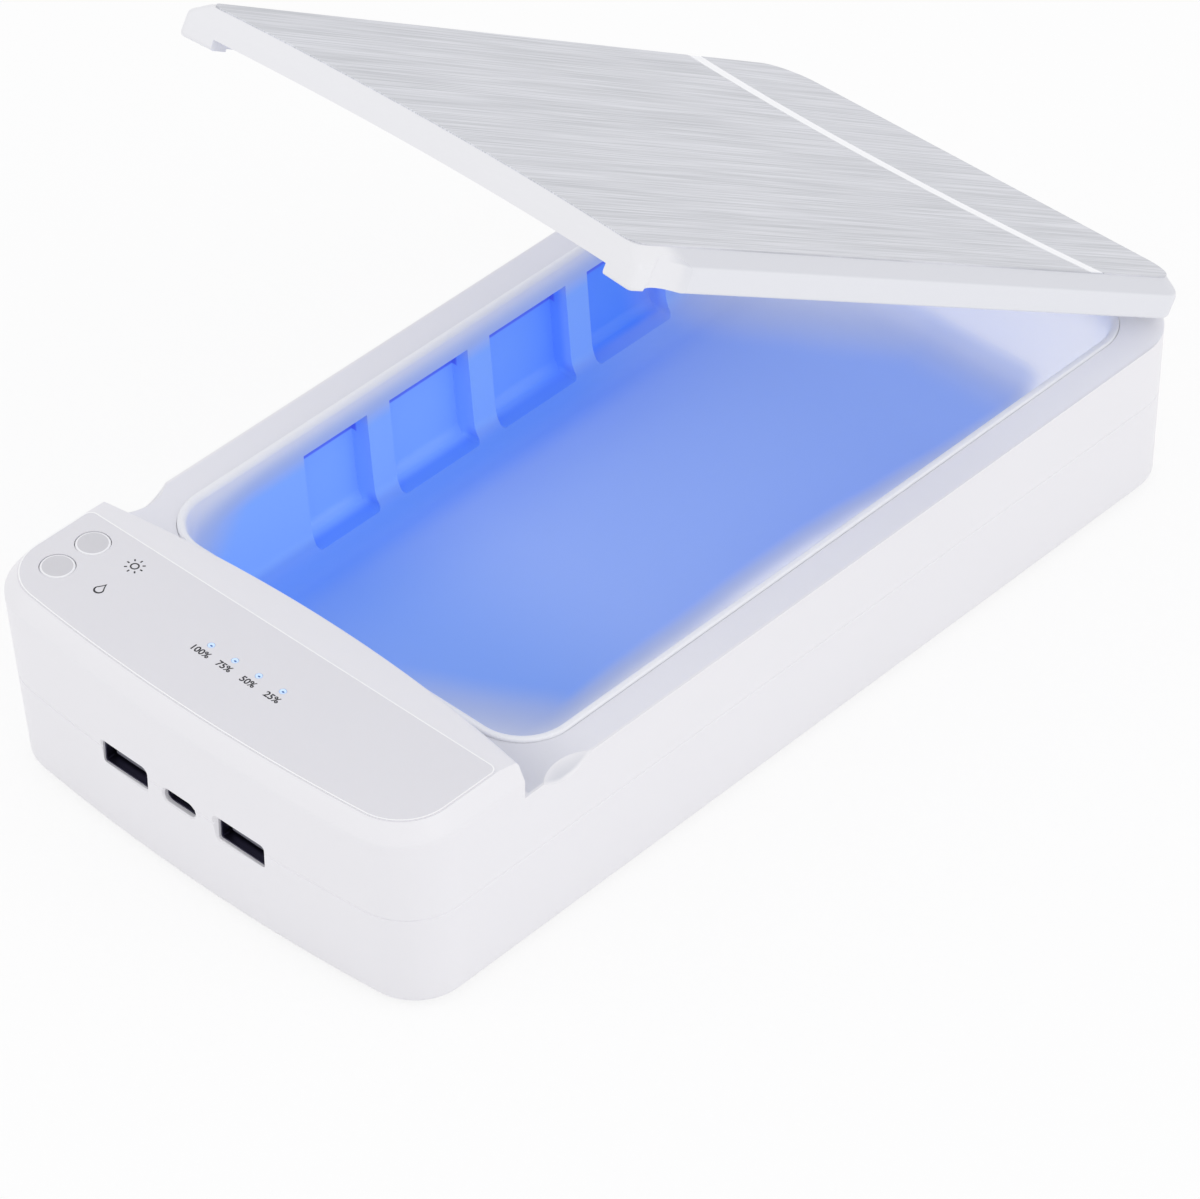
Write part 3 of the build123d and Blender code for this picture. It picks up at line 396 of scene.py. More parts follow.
# painted highlight: each button top turns pale towards its rounded edge
def keyCap(options):
    def fill(bench, place):
        x, y = bench.axes(place)[:2]
        grain = bench.noise(place, options["grainScale"])
        cloud = bench.noise(place, options["cloudScale"])
        reach = [
            ((x - left) ** 2 + (y - front) ** 2) ** 0.5 for left, front in options["centers"]
        ]
        ring = reach[0].least(reach[1]).smooth(*options["ring"])
        top = bench.mottle(cloud, options["color"], options["mottle"])
        return {
            "Base Color": bench.mix(ring, top, tint(options["rimColor"])),
            "Roughness": options["roughness"] + grain.swing(options["roughSwing"]),
            "Normal": bench.bump(grain, options["grainStrength"], options["grainDepth"]),
        }
    return surface(options, fill)


def gaugeWindow(options):
    def fill(bench, place):
        x, y = bench.axes(place)[:2]
        speckle = bench.noise(place, options["speckleScale"])
        steps = ((x - options["firstX"]) / options["pitch"]).rounded()
        across = x - options["firstX"] - steps * options["pitch"] - options["spot"][0]
        along = (y - options["y"] - options["spot"][1]) * options["stretch"]
        edge = ((across ** 2 + along ** 2) ** 0.5).smooth(*options["fade"])
        pale = bench.mottle(speckle, options["color"], options["mottle"])
        return {
            "Base Color": bench.mix(edge, tint(options["core"]), pale),
            "Roughness": options["roughness"] + speckle.swing(options["roughSwing"]),
            "Emission Color": bench.mix(edge, tint(options["core"]), tint(options["glow"])),
            "Emission Strength": options["strength"],
        }
    return surface(options, fill)


metalSet = {
    "mottle": (0.88, 1.04), "lineDetail": 3.0, "stainScale": 160.0, "stainDetail": 3.0,
    "roughSwing": 0.22, "lineStrength": 0.15, "lineDepth": 0.00002,
}


def spunMetal(options):
    options = {**metalSet, **options}

    def fill(bench, place):
        stretched = bench.add(
            "ShaderNodeMapping", {}, {"Vector": place, "Scale": options["lineScale"]}
        )
        lines = bench.noise(stretched, 1.0, options["lineDetail"])
        stain = bench.noise(place, options["stainScale"], options["stainDetail"])
        return {
            "Base Color": bench.mottle(stain, options["color"], options["mottle"]),
            "Metallic": 1.0,
            "Roughness": options["roughness"] + lines.swing(options["roughSwing"]),
            "Normal": bench.bump(lines, options["lineStrength"], options["lineDepth"]),
        }
    return surface(options, fill)


def rubberSkin(options):
    def fill(bench, place):
        grain = bench.noise(place, options["grainScale"], options["grainDetail"])
        dust = bench.noise(place, options["dustScale"], options["dustDetail"])
        dust = dust.smooth(*options["dustFade"]) * options["dustShare"]
        return {
            "Base Color": bench.mix(dust, tint(options["color"]), tint(options["dustColor"])),
            "Roughness": options["roughness"] + grain.swing(options["roughSwing"]),
            "Normal": bench.bump(grain, options["grainStrength"], options["grainDepth"]),
        }
    return surface(options, fill)


boardSet = {
    "rowOffset": 0.37, "trackScale": 260.0, "trackWidth": 0.035, "trackShare": 0.5,
    "mottle": (0.9, 1.1), "cloudScale": 60.0, "cloudDetail": 3.0,
    "roughness": 0.38, "roughSwing": 0.2, "trackStrength": 0.2, "trackDepth": 0.00003,
}


def boardLaminate(options):
    options = {**boardSet, **options}

    def fill(bench, place):
        x, y = bench.axes(place)[:2]
        bricks = {
            "Vector": bench.joined(x, y, 0.0), "Scale": options["trackScale"],
            "Mortar Size": options["trackWidth"],
            "Color1": black, "Color2": black, "Mortar": white,
        }
        track = bench.add("ShaderNodeTexBrick", {"offset": options["rowOffset"]}, bricks, out=1)
        cloud = bench.noise(place, options["cloudScale"], options["cloudDetail"])
        base = bench.mottle(cloud, options["color"], options["mottle"])
        copper = track * options["trackShare"]
        return {
            "Base Color": bench.mix(copper, base, tint(options["trackColor"])),
            "Roughness": options["roughness"] + cloud.swing(options["roughSwing"]),
            "Normal": bench.bump(track, options["trackStrength"], options["trackDepth"]),
        }
    return surface(options, fill)


def glowingLamp(options):
    def fill(bench, place):
        speckle = bench.noise(place, options["speckleScale"])
        return {
            "Base Color": bench.mottle(speckle, options["color"], options["mottle"]),
            "Roughness": options["roughness"] + speckle.swing(options["roughSwing"]),
            "Emission Color": tint(options["glow"]),
            "Emission Strength": options["strength"],
        }
    return surface(options, fill)


def wovenFelt(options):
    def fill(bench, place):
        fibre = bench.noise(
            place, options["fibreScale"], options["fibreDetail"], options["fibreMix"]
        )
        return {
            "Base Color": bench.mottle(fibre, options["color"], options["mottle"]),
            "Roughness": options["roughness"] + fibre.swing(options["roughSwing"]),
            "Normal": bench.bump(fibre, options["fibreStrength"], options["fibreDepth"]),
        }
    return surface(options, fill)


shellWhite = mouldedPlastic({
    "name": "shellWhite", "color": (238, 237, 241), "roughness": 0.36,
    "cloudScale": 16.0, "grainScale": 2600.0, "grainStrength": 0.06,
})
# painted shade on the rim top, in the nook and in the finger scoops; painted light glowing on the
# rear of the rim
rimWhite = mouldedPlastic({
    "name": "rimWhite", "color": (238, 237, 241), "roughness": 0.36,
    "cloudScale": 16.0, "grainScale": 2600.0, "grainStrength": 0.06, "shade": rimShade,
    "rimColor": (233, 233, 240), "rimFoot": (0.0425, 0.0430), "rimTop": (0.0448, 0.0452),
    "rimEdge": (0.0620, 0.0626), "rimStart": (-0.0890, -0.0880),
    "nookColor": (214, 215, 224), "nookEnd": (-0.086, -0.066), "nookSide": (0.030, 0.044),
    "rearGlow": (255, 255, 240), "rearFade": (0.030, 0.120), "strength": 0.1,
    "scoopColor": (212, 213, 221), "scoopCenter": (0.0706, -0.0773),
    "scoopReach": (0.0106, 0.0108), "scoopEdge": (0.0620, 0.0627),
    "scoopFoot": (0.0402, 0.0408), "scoopFade": (0.0405, 0.0445),
})
# painted shade on the lid's side bevels and sides, darker than its top
lidWhite = mouldedPlastic({
    "name": "lidWhite", "color": (236, 236, 240), "roughness": 0.34,
    "cloudScale": 14.0, "grainScale": 2600.0, "grainStrength": 0.06, "shade": lidShade,
    "bevelColor": (216, 217, 224), "bevelFade": (-0.047, -0.041),
    "bevelFoot": (0.0488, 0.0493), "bevelEdge": (0.052, 0.058),
    "sideColor": (229, 230, 236), "sideEdge": (0.0612, 0.0622),
})
blackPlastic = mouldedPlastic({
    "name": "blackPlastic", "color": (30, 30, 33), "roughness": 0.5,
    "cloudScale": 200.0, "grainScale": 3000.0, "grainStrength": 0.2,
})
tongueGrey = mouldedPlastic({
    "name": "tongueGrey", "color": (126, 126, 138), "roughness": 0.5,
    "cloudScale": 200.0, "grainScale": 3000.0, "grainStrength": 0.2,
})
leadSleeve = mouldedPlastic({
    "name": "leadSleeve", "color": (176, 40, 34), "roughness": 0.45,
    "cloudScale": 300.0, "grainScale": 2000.0, "grainStrength": 0.1,
})
batteryWrap = mouldedPlastic({
    "name": "batteryWrap", "color": (58, 106, 168), "roughness": 0.3,
    "cloudScale": 60.0, "grainScale": 900.0, "grainStrength": 0.2,
})
ceramicPlate = mouldedPlastic({
    "name": "ceramicPlate", "color": (232, 228, 218), "roughness": 0.7,
    "cloudScale": 200.0, "grainScale": 2600.0, "grainStrength": 0.3,
})
printGrey = mouldedPlastic({
    "name": "printGrey", "color": (34, 34, 40), "roughness": 0.55,
    "cloudScale": 500.0, "grainScale": 5000.0, "grainStrength": 0.05,
})
# painted light: the blue glow, its haze and the pale light under the lid; painted shadow under the
# pocket roofs
tubGlow = litTub({
    "name": "tubGlow", "roughness": 0.34, "roughSwing": 0.06, "strength": 0.15,
    "grainScale": 2400.0, "grainStrength": 0.08, "grainDepth": 0.00004,
    "driftScale": 22.0, "drift": 0.005, "haze": 1.6,
    "white": (241, 242, 247), "blue": (142, 172, 241), "frontBlue": (120, 159, 238),
    "wallBlue": (137, 181, 255), "footBlue": (100, 150, 247), "hazeBlue": (150, 166, 208),
    "nearBlue": (136, 182, 255), "farBlue": (94, 152, 254), "roofShadowBlue": (98, 122, 236),
    "shadeGlow": (226, 226, 228), "shadeFade": (-0.030, 0.040),
    "backGlow": (226, 220, 196), "backStrength": 1.6,
    "rimHeight": 0.0438, "depthFade": (0.0008, 0.0104), "floorHeight": 0.0125, "floorEdge": 0.004,
    "footHalf": 0.0492, "wallSlope": 0.0875, "pocketFade": (0.0008, 0.0035),
    "rightFade": (0.0195, 0.0278), "rightMiddle": 0.015, "rightBow": 0.056,
    "frontFade": (-0.070, -0.044), "frontSkew": 0.6, "frontRise": 1.0, "frontShare": 0.9,
    "rearFade": (0.098, 0.132), "rearSkew": 0.58, "rearShare": 0.82,
    "backFade": (0.104, 0.113), "backHeight": (0.009, 0.020), "backDrift": 0.5,
    "footFade": (0.036, 0.048), "footEnd": (0.035, 0.075), "footShare": 0.7,
    "middleFade": (-0.045, 0.0), "farFade": (0.0, 0.075),
    "roofShadow": (0.0308, 0.0312), "roofInset": (0.0036, 0.0044),
})
lidBrushed = brushedSheet({
    "name": "lidBrushed", "dark": (187, 189, 196), "pale": (226, 227, 234), "metallic": 0.25,
    "layers": ((0.0005, 0.045, 4.0), (0.0018, 0.080, 3.0), (0.009, 0.130, 2.0)),
    "streakMix": 0.55, "shares": (0.62, 0.26, 0.12), "blendFade": (0.34, 0.66),
    "roughness": 0.42, "roughSwing": 0.3, "grainStrength": 0.12, "grainDepth": 0.00003,
})
panelFilm = silkFilm({"name": "panelFilm", "color": (229, 228, 233), "roughness": 0.42})
# painted highlight for the film's edge
filmEdgeHighlight = silkFilm({"name": "filmEdgeHighlight", "color": (254, 254, 255), "roughness": 0.36})
pearlStrip = silkFilm({
    "name": "pearlStrip", "color": (247, 248, 253), "roughness": 0.22, "coat": 0.4,
})
# painted light: the reflector glows faintly, as if lit by the lamps below it
mirrorFoil = silkFilm({
    "name": "mirrorFoil", "color": (214, 216, 220), "roughness": 0.2, "metallic": 0.9,
    "glow": (240, 238, 236), "strength": 0.32,
})
# painted highlight: a pale ring round the edge of each button top
buttonGrey = keyCap({
    "name": "buttonGrey", "color": (213, 212, 217), "rimColor": (248, 248, 251),
    "centers": ((-0.0514, -0.1017), (-0.0514, -0.1119)), "ring": (0.00325, 0.00345),
    "mottle": (0.98, 1.02), "grainScale": 3200.0, "cloudScale": 120.0,
    "roughness": 0.38, "roughSwing": 0.08, "grainStrength": 0.05, "grainDepth": 0.00003,
})
gaugeGlow = gaugeWindow({
    "name": "gaugeGlow", "color": (206, 226, 250), "core": (52, 92, 150),
    "glow": (150, 196, 255), "strength": 0.25, "mottle": (0.96, 1.03), "speckleScale": 900.0,
    "roughness": 0.3, "roughSwing": 0.1, "firstX": -0.00975, "pitch": 0.007, "y": -0.1075,
    "spot": (0.00018, -0.00012), "stretch": 1.5, "fade": (0.00022, 0.00046),
})
contactGold = spunMetal({
    "name": "contactGold", "color": (224, 178, 92), "roughness": 0.3,
    "lineScale": (4000, 200, 4000),
})
# painted shade: the socket steel is darkened and tinted indigo for the shade inside the ports; the
# grey base is the steel's own colour
socketSteel = spunMetal({
    "name": "socketSteel", "color": (86, 84, 106), "roughness": 0.4,
    "lineScale": (300, 3000, 3000),
})
screwSteel = spunMetal({
    "name": "screwSteel", "color": (176, 177, 181), "roughness": 0.3,
    "lineScale": (2500, 2500, 300),
})
footRubber = rubberSkin({
    "name": "footRubber", "color": (58, 58, 61), "dustColor": (96, 95, 93),
    "dustScale": 120.0, "dustDetail": 4.0, "dustFade": (0.55, 0.75), "dustShare": 0.4,
    "grainScale": 1800.0, "grainDetail": 3.0, "roughness": 0.78, "roughSwing": 0.2,
    "grainStrength": 0.3, "grainDepth": 0.00006,
})
greenBoard = boardLaminate({
    "name": "greenBoard", "color": (34, 104, 64), "trackColor": (70, 140, 88),
})
paleBoard = boardLaminate({
    "name": "paleBoard", "color": (226, 226, 222), "trackColor": (200, 200, 196),
})
lampGlow = glowingLamp({
    "name": "lampGlow", "color": (240, 236, 205), "glow": (120, 110, 255), "strength": 1.5,
    "mottle": (0.95, 1.05), "speckleScale": 900.0, "roughness": 0.25, "roughSwing": 0.1,
})
scentFelt = wovenFelt({
    "name": "scentFelt", "color": (226, 224, 214), "mottle": (0.8, 1.05),
    "fibreScale": 1400.0, "fibreDetail": 5.0, "fibreMix": 0.7, "fibreStrength": 0.6,
    "fibreDepth": 0.0002, "roughness": 0.85, "roughSwing": 0.15,
})
print("finishes written")


# pieces taken over from the frame
meshSet = {
    "weld": 2e-6,  # corners closer than this are one
    "flat": math.radians(0.2),  # faces that turn less than this are one
    "sharp": math.radians(28.0),
    "bevelAngle": math.radians(30.0),
    "bevelSteps": 2,
}


def mergedMesh(name, source, options):
    build = bmesh.new()
    build.from_mesh(source.data)
    bmesh.ops.remove_doubles(build, verts=build.verts, dist=options["weld"])
    bmesh.ops.dissolve_limit(
        build, angle_limit=options["flat"], verts=build.verts, edges=build.edges,
        delimit={"NORMAL"},
    )
    points = [vert.co.copy() for vert in build.verts]
    for index, vert in enumerate(build.verts):
        vert.index = index
    faces = [[vert.index for vert in face.verts] for face in build.faces]
    build.free()
    mesh = bpy.data.meshes.new(name)
    mesh.from_pydata(points, [], faces)
    mesh.update()
    return mesh


def bodyOf(node):
    return frame["nodes"][node]["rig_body"]


def slotOf(node):
    subparts = frame["record"]["subparts"]
    return next(entry["material_slot"] for entry in subparts if entry["node"] == node)


def evaluatedMesh(holder):
    seen = holder.evaluated_get(bpy.context.evaluated_depsgraph_get())
    return bpy.data.meshes.new_from_object(seen)


def dress(name, node, material, edge=0.0):  # edge is the width that its sharp edges lose
    mesh = mergedMesh(name, frame["nodes"][node], meshSet)
    piece = bpy.data.objects.new(name, mesh)
    scene.collection.objects.link(piece)
    mesh.materials.append(material)
    mesh.shade_smooth()
    mesh.set_sharp_from_angle(angle=meshSet["sharp"])
    if edge:
        soften = piece.modifiers.new("soften", "BEVEL")
        soften.width = edge
        soften.segments = meshSet["bevelSteps"]
        soften.limit_method = "ANGLE"
        soften.angle_limit = meshSet["bevelAngle"]
        soften.harden_normals = True
        soften.miter_outer = "MITER_ARC"
        mesh = evaluatedMesh(piece)
        piece.modifiers.clear()
        piece.data = mesh
    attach(piece, bodyOf(node))
    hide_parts(node)
    slotOf(node)
    return piece


dressed = {  # node, finish, width of the softened edges in metres
    "lowerShell": ("lower_shell", shellWhite, 0.00018),
    "upperShell": ("upper_shell", rimWhite, 0.00018),
    "chamberTub": ("chamber_tub", tubGlow),
    "controlFilm": ("control_film", panelFilm),
    "gaugeGuide": ("gauge_guide", gaugeGlow),
    "lampButton": ("lamp_button", buttonGrey),
    "scentButton": ("scent_button", buttonGrey),
    "lidCover": ("lid_cover", lidWhite, 0.00018),
    "lidSheet": ("lid_sheet", lidBrushed),
    "lidStripe": ("lid_stripe", pearlStrip),
    "lidLiner": ("lid_liner", lidWhite, 0.00015),
    "lidReflector": ("lid_reflector", mirrorFoil),
    "lidBumpers": ("lid_bumpers", footRubber),
    "lidScrews": ("lid_screws", screwSteel),
    "feetPads": ("feet", footRubber),
    "caseScrews": ("case_screws", screwSteel),
    "scentGrille": ("scent_grille", lidWhite, 0.00012),
    "scentCup": ("scent_cup", lidWhite),
    "usbSocketLeft": ("usb_a_socket_left", socketSteel),
    "usbSocketRight": ("usb_a_socket_right", socketSteel),
    "usbTongueLeft": ("usb_a_tongue_left", tongueGrey, 0.00012),
    "usbTongueRight": ("usb_a_tongue_right", tongueGrey, 0.00012),
    "chargeSocket": ("usb_c_socket", socketSteel),
    "chargeTongue": ("usb_c_tongue", tongueGrey, 0.00008),
    "hingePins": ("hinge_pins", screwSteel),
}
pieces = {name: dress(name, *settings) for name, settings in dressed.items()}
print("pieces dressed:", len(pieces))

# the lid's sheet, grown a little so that no gap shows round it
sheetSet = {"growth": 0.27 * mm}


def grownSheet(piece, options):
    hinge = Vector((0.0, lidPlace["hingeY"], lidPlace["hingeZ"]))
    turn = Matrix.Rotation(math.radians(lidPlace["angle"]), 4, "X")
    closing = Matrix.Translation(hinge) @ turn @ Matrix.Translation(-hinge)
    piece.data.transform(closing)
    corners = [vert.co for vert in piece.data.vertices]
    for axis in (0, 1):
        low, high = min(co[axis] for co in corners), max(co[axis] for co in corners)
        middle = (low + high) / 2
        factor = 1 + 2 * options["growth"] / (high - low)
        for co in corners:
            co[axis] = middle + (co[axis] - middle) * factor
    piece.data.transform(closing.inverted())


grownSheet(pieces["lidSheet"], sheetSet)
print("sheet grown")

carried = {  # CAD nodes that only get a finish
    "gauge_lamps": gaugeGlow, "panel_board": greenBoard, "main_board": greenBoard,
    "lamp_switch": blackPlastic, "scent_switch": blackPlastic, "lamp_plunger": blackPlastic,
    "scent_plunger": blackPlastic, "lid_sensor": blackPlastic, "control_chip": blackPlastic,
    "boost_coil": blackPlastic, "buffer_capacitor": blackPlastic, "battery_pack": batteryWrap,
    "battery_leads": leadSleeve, "panel_ribbon": leadSleeve, "lamp_leads": leadSleeve,
    "scent_leads": leadSleeve, "lamp_board_left": paleBoard, "lamp_board_right": paleBoard,
    "lamps_left": lampGlow, "lamps_right": lampGlow, "scent_heater": ceramicPlate,
    "scent_pad": scentFelt, "board_screws": screwSteel, "hinge_sleeves": screwSteel,
    "lid_magnet": screwSteel,
}
for node, material in carried.items():
    holder = frame["nodes"][node]
    holder.data.materials.clear()
    holder.data.materials.append(material)
print("inner pieces finished:", len(carried))


# the film's painted edge highlight, its numbers and icons
def joinedPiece(name, parts, material, body):
    build = bmesh.new()
    for part in parts:
        build.from_mesh(part)
    mesh = bpy.data.meshes.new(name)
    build.to_mesh(mesh)
    build.free()
    for part in parts:
        bpy.data.meshes.remove(part)
    mesh.materials.clear()
    mesh.materials.append(material)
    piece = bpy.data.objects.new(name, mesh)
    scene.collection.objects.link(piece)
    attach(piece, body)
    return piece


def innerEdges(build):  # open edges that aren't on the outermost loop
    openEdges = [edge for edge in build.edges if len(edge.link_faces) == 1]
    corners = [vert for edge in openEdges for vert in edge.verts]
    start = max(corners, key=lambda vert: vert.co.y)
    outer, front = {start}, [start]
    while front:
        vert = front.pop()
        for edge in vert.link_edges:
            other = edge.other_vert(vert)
            if len(edge.link_faces) == 1 and other not in outer:
                outer.add(other)
                front.append(other)
    return [edge for edge in openEdges if edge.verts[0] not in outer]


filmEdgeSet = {
    "width": 0.3 * mm,
    "lift": 0.01 * mm,
    "weld": 2e-6,
    "flat": 5e-6,  # faces this close to the highest corner are the film's top
}


# painted highlight: a pale strip standing in for the light caught by the film's edge
def filmHighlightBorder(options):  # a pale line along the outer edge of the control film
    build = bmesh.new()
    build.from_mesh(frame["nodes"]["control_film"].data)
    bmesh.ops.remove_doubles(build, verts=build.verts, dist=options["weld"])
    top = max(vert.co.z for vert in build.verts) - options["flat"]
    low = [face for face in build.faces if face.calc_center_median().z < top]
    bmesh.ops.delete(build, geom=low, context="FACES")
    bmesh.ops.holes_fill(build, edges=innerEdges(build), sides=0)
    inner = build.faces[:]
    bmesh.ops.inset_region(
        build, faces=inner, thickness=options["width"], use_even_offset=True,
        use_boundary=True,
    )
    bmesh.ops.delete(build, geom=inner, context="FACES")
    bmesh.ops.translate(build, verts=build.verts, vec=(0.0, 0.0, options["lift"]))
    mesh = bpy.data.meshes.new("filmHighlightBorder")
    build.to_mesh(mesh)
    build.free()
    return mesh


joinedPiece("filmHighlightLine", [filmHighlightBorder(filmEdgeSet)], filmEdgeHighlight, "base")
print("film edge drawn")

numberSet = {
    "words": ("100%", "75%", "50%", "25%"),
    "firstX": -10.08 * mm, "pitch": 7.0 * mm, "y": -110.4 * mm, "z": 52.0 * mm,
    "size": 2.4 * mm, "thickness": 0.02 * mm, "weight": 0.05 * mm,
}


def writtenWord(word, options):
    curve = bpy.data.curves.new(word, "FONT")
    curve.body = word
    curve.size = options["size"]
    curve.extrude = options["thickness"] / 2
    curve.offset = options["weight"]
    curve.align_x = "CENTER"
    curve.align_y = "CENTER"
    holder = bpy.data.objects.new(word, curve)
    scene.collection.objects.link(holder)
    bpy.context.view_layer.update()
    mesh = evaluatedMesh(holder)
    bpy.data.objects.remove(holder)
    bpy.data.curves.remove(curve)
    return mesh


words = []
for index, word in enumerate(numberSet["words"]):
    mesh = writtenWord(word, numberSet)
    x = numberSet["firstX"] + index * numberSet["pitch"]
    z = numberSet["z"] + numberSet["thickness"] / 2
    mesh.transform(Matrix.Translation((x, numberSet["y"], z)))
    words.append(mesh)
joinedPiece("gaugeNumbers", words, printGrey, "base")
print("numbers printed")


# repeated small pieces, made by node trees
def repeatTree(name, inputs, wire):
    tree = bpy.data.node_groups.new(name, "GeometryNodeTree")
    tree.interface.new_socket("Geometry", in_out="OUTPUT", socket_type="NodeSocketGeometry")
    for label, kind, value in inputs:
        socket = tree.interface.new_socket(label, in_out="INPUT", socket_type=kind)
        if value is not None:
            socket.default_value = value
    start = tree.nodes.new("NodeGroupInput")
    end = tree.nodes.new("NodeGroupOutput")
    geometry, material = wire(tree, start)
    realize = tree.nodes.new("GeometryNodeRealizeInstances")
    paint = tree.nodes.new("GeometryNodeSetMaterial")
    tree.links.new(geometry, realize.inputs[0])
    tree.links.new(realize.outputs[0], paint.inputs["Geometry"])
    tree.links.new(material, paint.inputs["Material"])
    tree.links.new(paint.outputs[0], end.inputs[0])
    return tree


def grown(name, tree, values):
    holder = bpy.data.objects.new(name, bpy.data.meshes.new(name))
    scene.collection.objects.link(holder)
    modifier = holder.modifiers.new("grow", "NODES")
    modifier.node_group = tree
    for item in tree.interface.items_tree:
        if item.in_out == "INPUT" and item.name in values:
            modifier[item.identifier] = values[item.name]
    mesh = evaluatedMesh(holder)
    holder.modifiers.clear()
    bpy.data.objects.remove(holder)
    return mesh


def wired(tree, kind, sockets):  # a new node, each of its sockets fed by an output
    node = tree.nodes.new(kind)
    for key, output in sockets.items():
        tree.links.new(output, node.inputs[key])
    return node


def raysWiring(tree, start):  # bars on a circle, each pointing outwards
    given = start.outputs
    circle = wired(tree, "GeometryNodeMeshCircle", {
        "Vertices": given["Count"], "Radius": given["Radius"],
    })
    size = wired(tree, "ShaderNodeCombineXYZ", {
        0: given["Width"], 1: given["Length"], 2: given["Thickness"],
    })
    bar = wired(tree, "GeometryNodeMeshCube", {"Size": size.outputs[0]})
    spot = wired(tree, "GeometryNodeInputPosition", {})
    aim = wired(tree, "FunctionNodeAlignRotationToVector", {"Vector": spot.outputs[0]})
    aim.axis = "Y"
    copies = wired(tree, "GeometryNodeInstanceOnPoints", {
        "Points": circle.outputs[0], "Instance": bar.outputs["Mesh"],
        "Rotation": aim.outputs[0],
    })
    return copies.outputs[0], given["Material"]


def rowWiring(tree, start):  # bars side by side along X
    given = start.outputs
    step = wired(tree, "ShaderNodeCombineXYZ", {0: given["Pitch"]})
    line = wired(tree, "GeometryNodeMeshLine", {
        "Count": given["Count"], "Start Location": given["Start"], "Offset": step.outputs[0],
    })
    bar = wired(tree, "GeometryNodeMeshCube", {"Size": given["Size"]})
    copies = wired(tree, "GeometryNodeInstanceOnPoints", {
        "Points": line.outputs[0], "Instance": bar.outputs["Mesh"],
    })
    return copies.outputs[0], given["Material"]


raysTree = repeatTree("raysTree", [
    ("Count", "NodeSocketInt", 8), ("Radius", "NodeSocketFloat", 0.0015),
    ("Width", "NodeSocketFloat", 0.0002), ("Length", "NodeSocketFloat", 0.0005),
    ("Thickness", "NodeSocketFloat", 0.00002), ("Material", "NodeSocketMaterial", None),
], raysWiring)
rowTree = repeatTree("rowTree", [
    ("Count", "NodeSocketInt", 4), ("Start", "NodeSocketVector", None),
    ("Pitch", "NodeSocketFloat", 0.0025), ("Size", "NodeSocketVector", None),
    ("Material", "NodeSocketMaterial", None),
], rowWiring)

iconSet = {
    "x": -39.5 * mm, "lampY": -100.9 * mm, "scentY": -110.9 * mm, "z": 52.0 * mm,
    "thickness": 0.02 * mm, "ring": 1.05 * mm, "line": 0.34 * mm,
    "rayRadius": 1.95 * mm, "rayLength": 0.65 * mm, "rayCount": 8,
    "dropHeight": 3.6 * mm, "dropRadius": 1.2 * mm,
    "dropTaper": 0.75, "taperPower": 3, "tipPower": 4, "dropSink": 0.3,
}


def flatRing(outline, inner, center, thickness):
    build = bmesh.new()
    count = len(outline)
    layers = []
    for height in (0.0, thickness):
        layers.append([
            [build.verts.new((center[0] + x, center[1] + y, center[2] + height)) for x, y in ring]
            for ring in (outline, inner)
        ])
    for index in range(count):
        after = (index + 1) % count
        (lowOut, lowIn), (highOut, highIn) = layers
        build.faces.new((highOut[index], highOut[after], highIn[after], highIn[index]))
        build.faces.new((lowOut[after], lowOut[index], lowIn[index], lowIn[after]))
        build.faces.new((lowOut[index], lowOut[after], highOut[after], highOut[index]))
        build.faces.new((lowIn[after], lowIn[index], highIn[index], highIn[after]))
    mesh = bpy.data.meshes.new("ring")
    build.to_mesh(mesh)
    build.free()
    return mesh


def circlePoints(radius, count=40):
    turns = [step * math.tau / count for step in range(count)]
    return [(radius * math.cos(turn), radius * math.sin(turn)) for turn in turns]


def dropPoints(options, count=48):  # a circle drawn out to a tip
    radius, spare = options["dropRadius"], options["dropHeight"] - 2 * options["dropRadius"]
    points = []
    for step in range(count):
        turn = step * math.tau / count
        reach = max(0.0, math.sin(turn))
        taper = 1 - options["dropTaper"] * reach ** options["taperPower"]
        y = radius * math.sin(turn) + spare * reach ** options["tipPower"]
        points.append((radius * math.cos(turn) * taper, y - spare * options["dropSink"]))
    return points


rays = grown("rays", raysTree, {
    "Count": iconSet["rayCount"], "Radius": iconSet["rayRadius"], "Width": iconSet["line"],
    "Length": iconSet["rayLength"], "Thickness": iconSet["thickness"], "Material": printGrey,
})
lampSpot = Vector((iconSet["x"], iconSet["lampY"], iconSet["z"]))
scentSpot = Vector((iconSet["x"], iconSet["scentY"], iconSet["z"]))
rays.transform(Matrix.Translation(lampSpot + Vector((0.0, 0.0, iconSet["thickness"] / 2))))
lampRing = flatRing(
    circlePoints(iconSet["ring"]), circlePoints(iconSet["ring"] - iconSet["line"]),
    lampSpot, iconSet["thickness"],
)
joinedPiece("lampIcon", [rays, lampRing], printGrey, "base")
drop = dropPoints(iconSet)
scale = 1 - iconSet["line"] / iconSet["dropRadius"]
innerDrop = [(x * scale, y * scale) for x, y in drop]
dropRing = flatRing(drop, innerDrop, scentSpot, iconSet["thickness"])
joinedPiece("scentIcon", [dropRing], printGrey, "base")

# contacts under the tongues of the sockets, inset from the tongue's front
usbContactSet = {
    "count": 4, "pitch": 2.5 * mm, "size": (1.1 * mm, 8.0 * mm, 0.12 * mm), "inset": 0.6 * mm,
}
chargeContactSet = {
    "count": 12, "pitch": 0.5 * mm, "size": (0.28 * mm, 3.0 * mm, 0.06 * mm), "inset": 0.6 * mm,
}


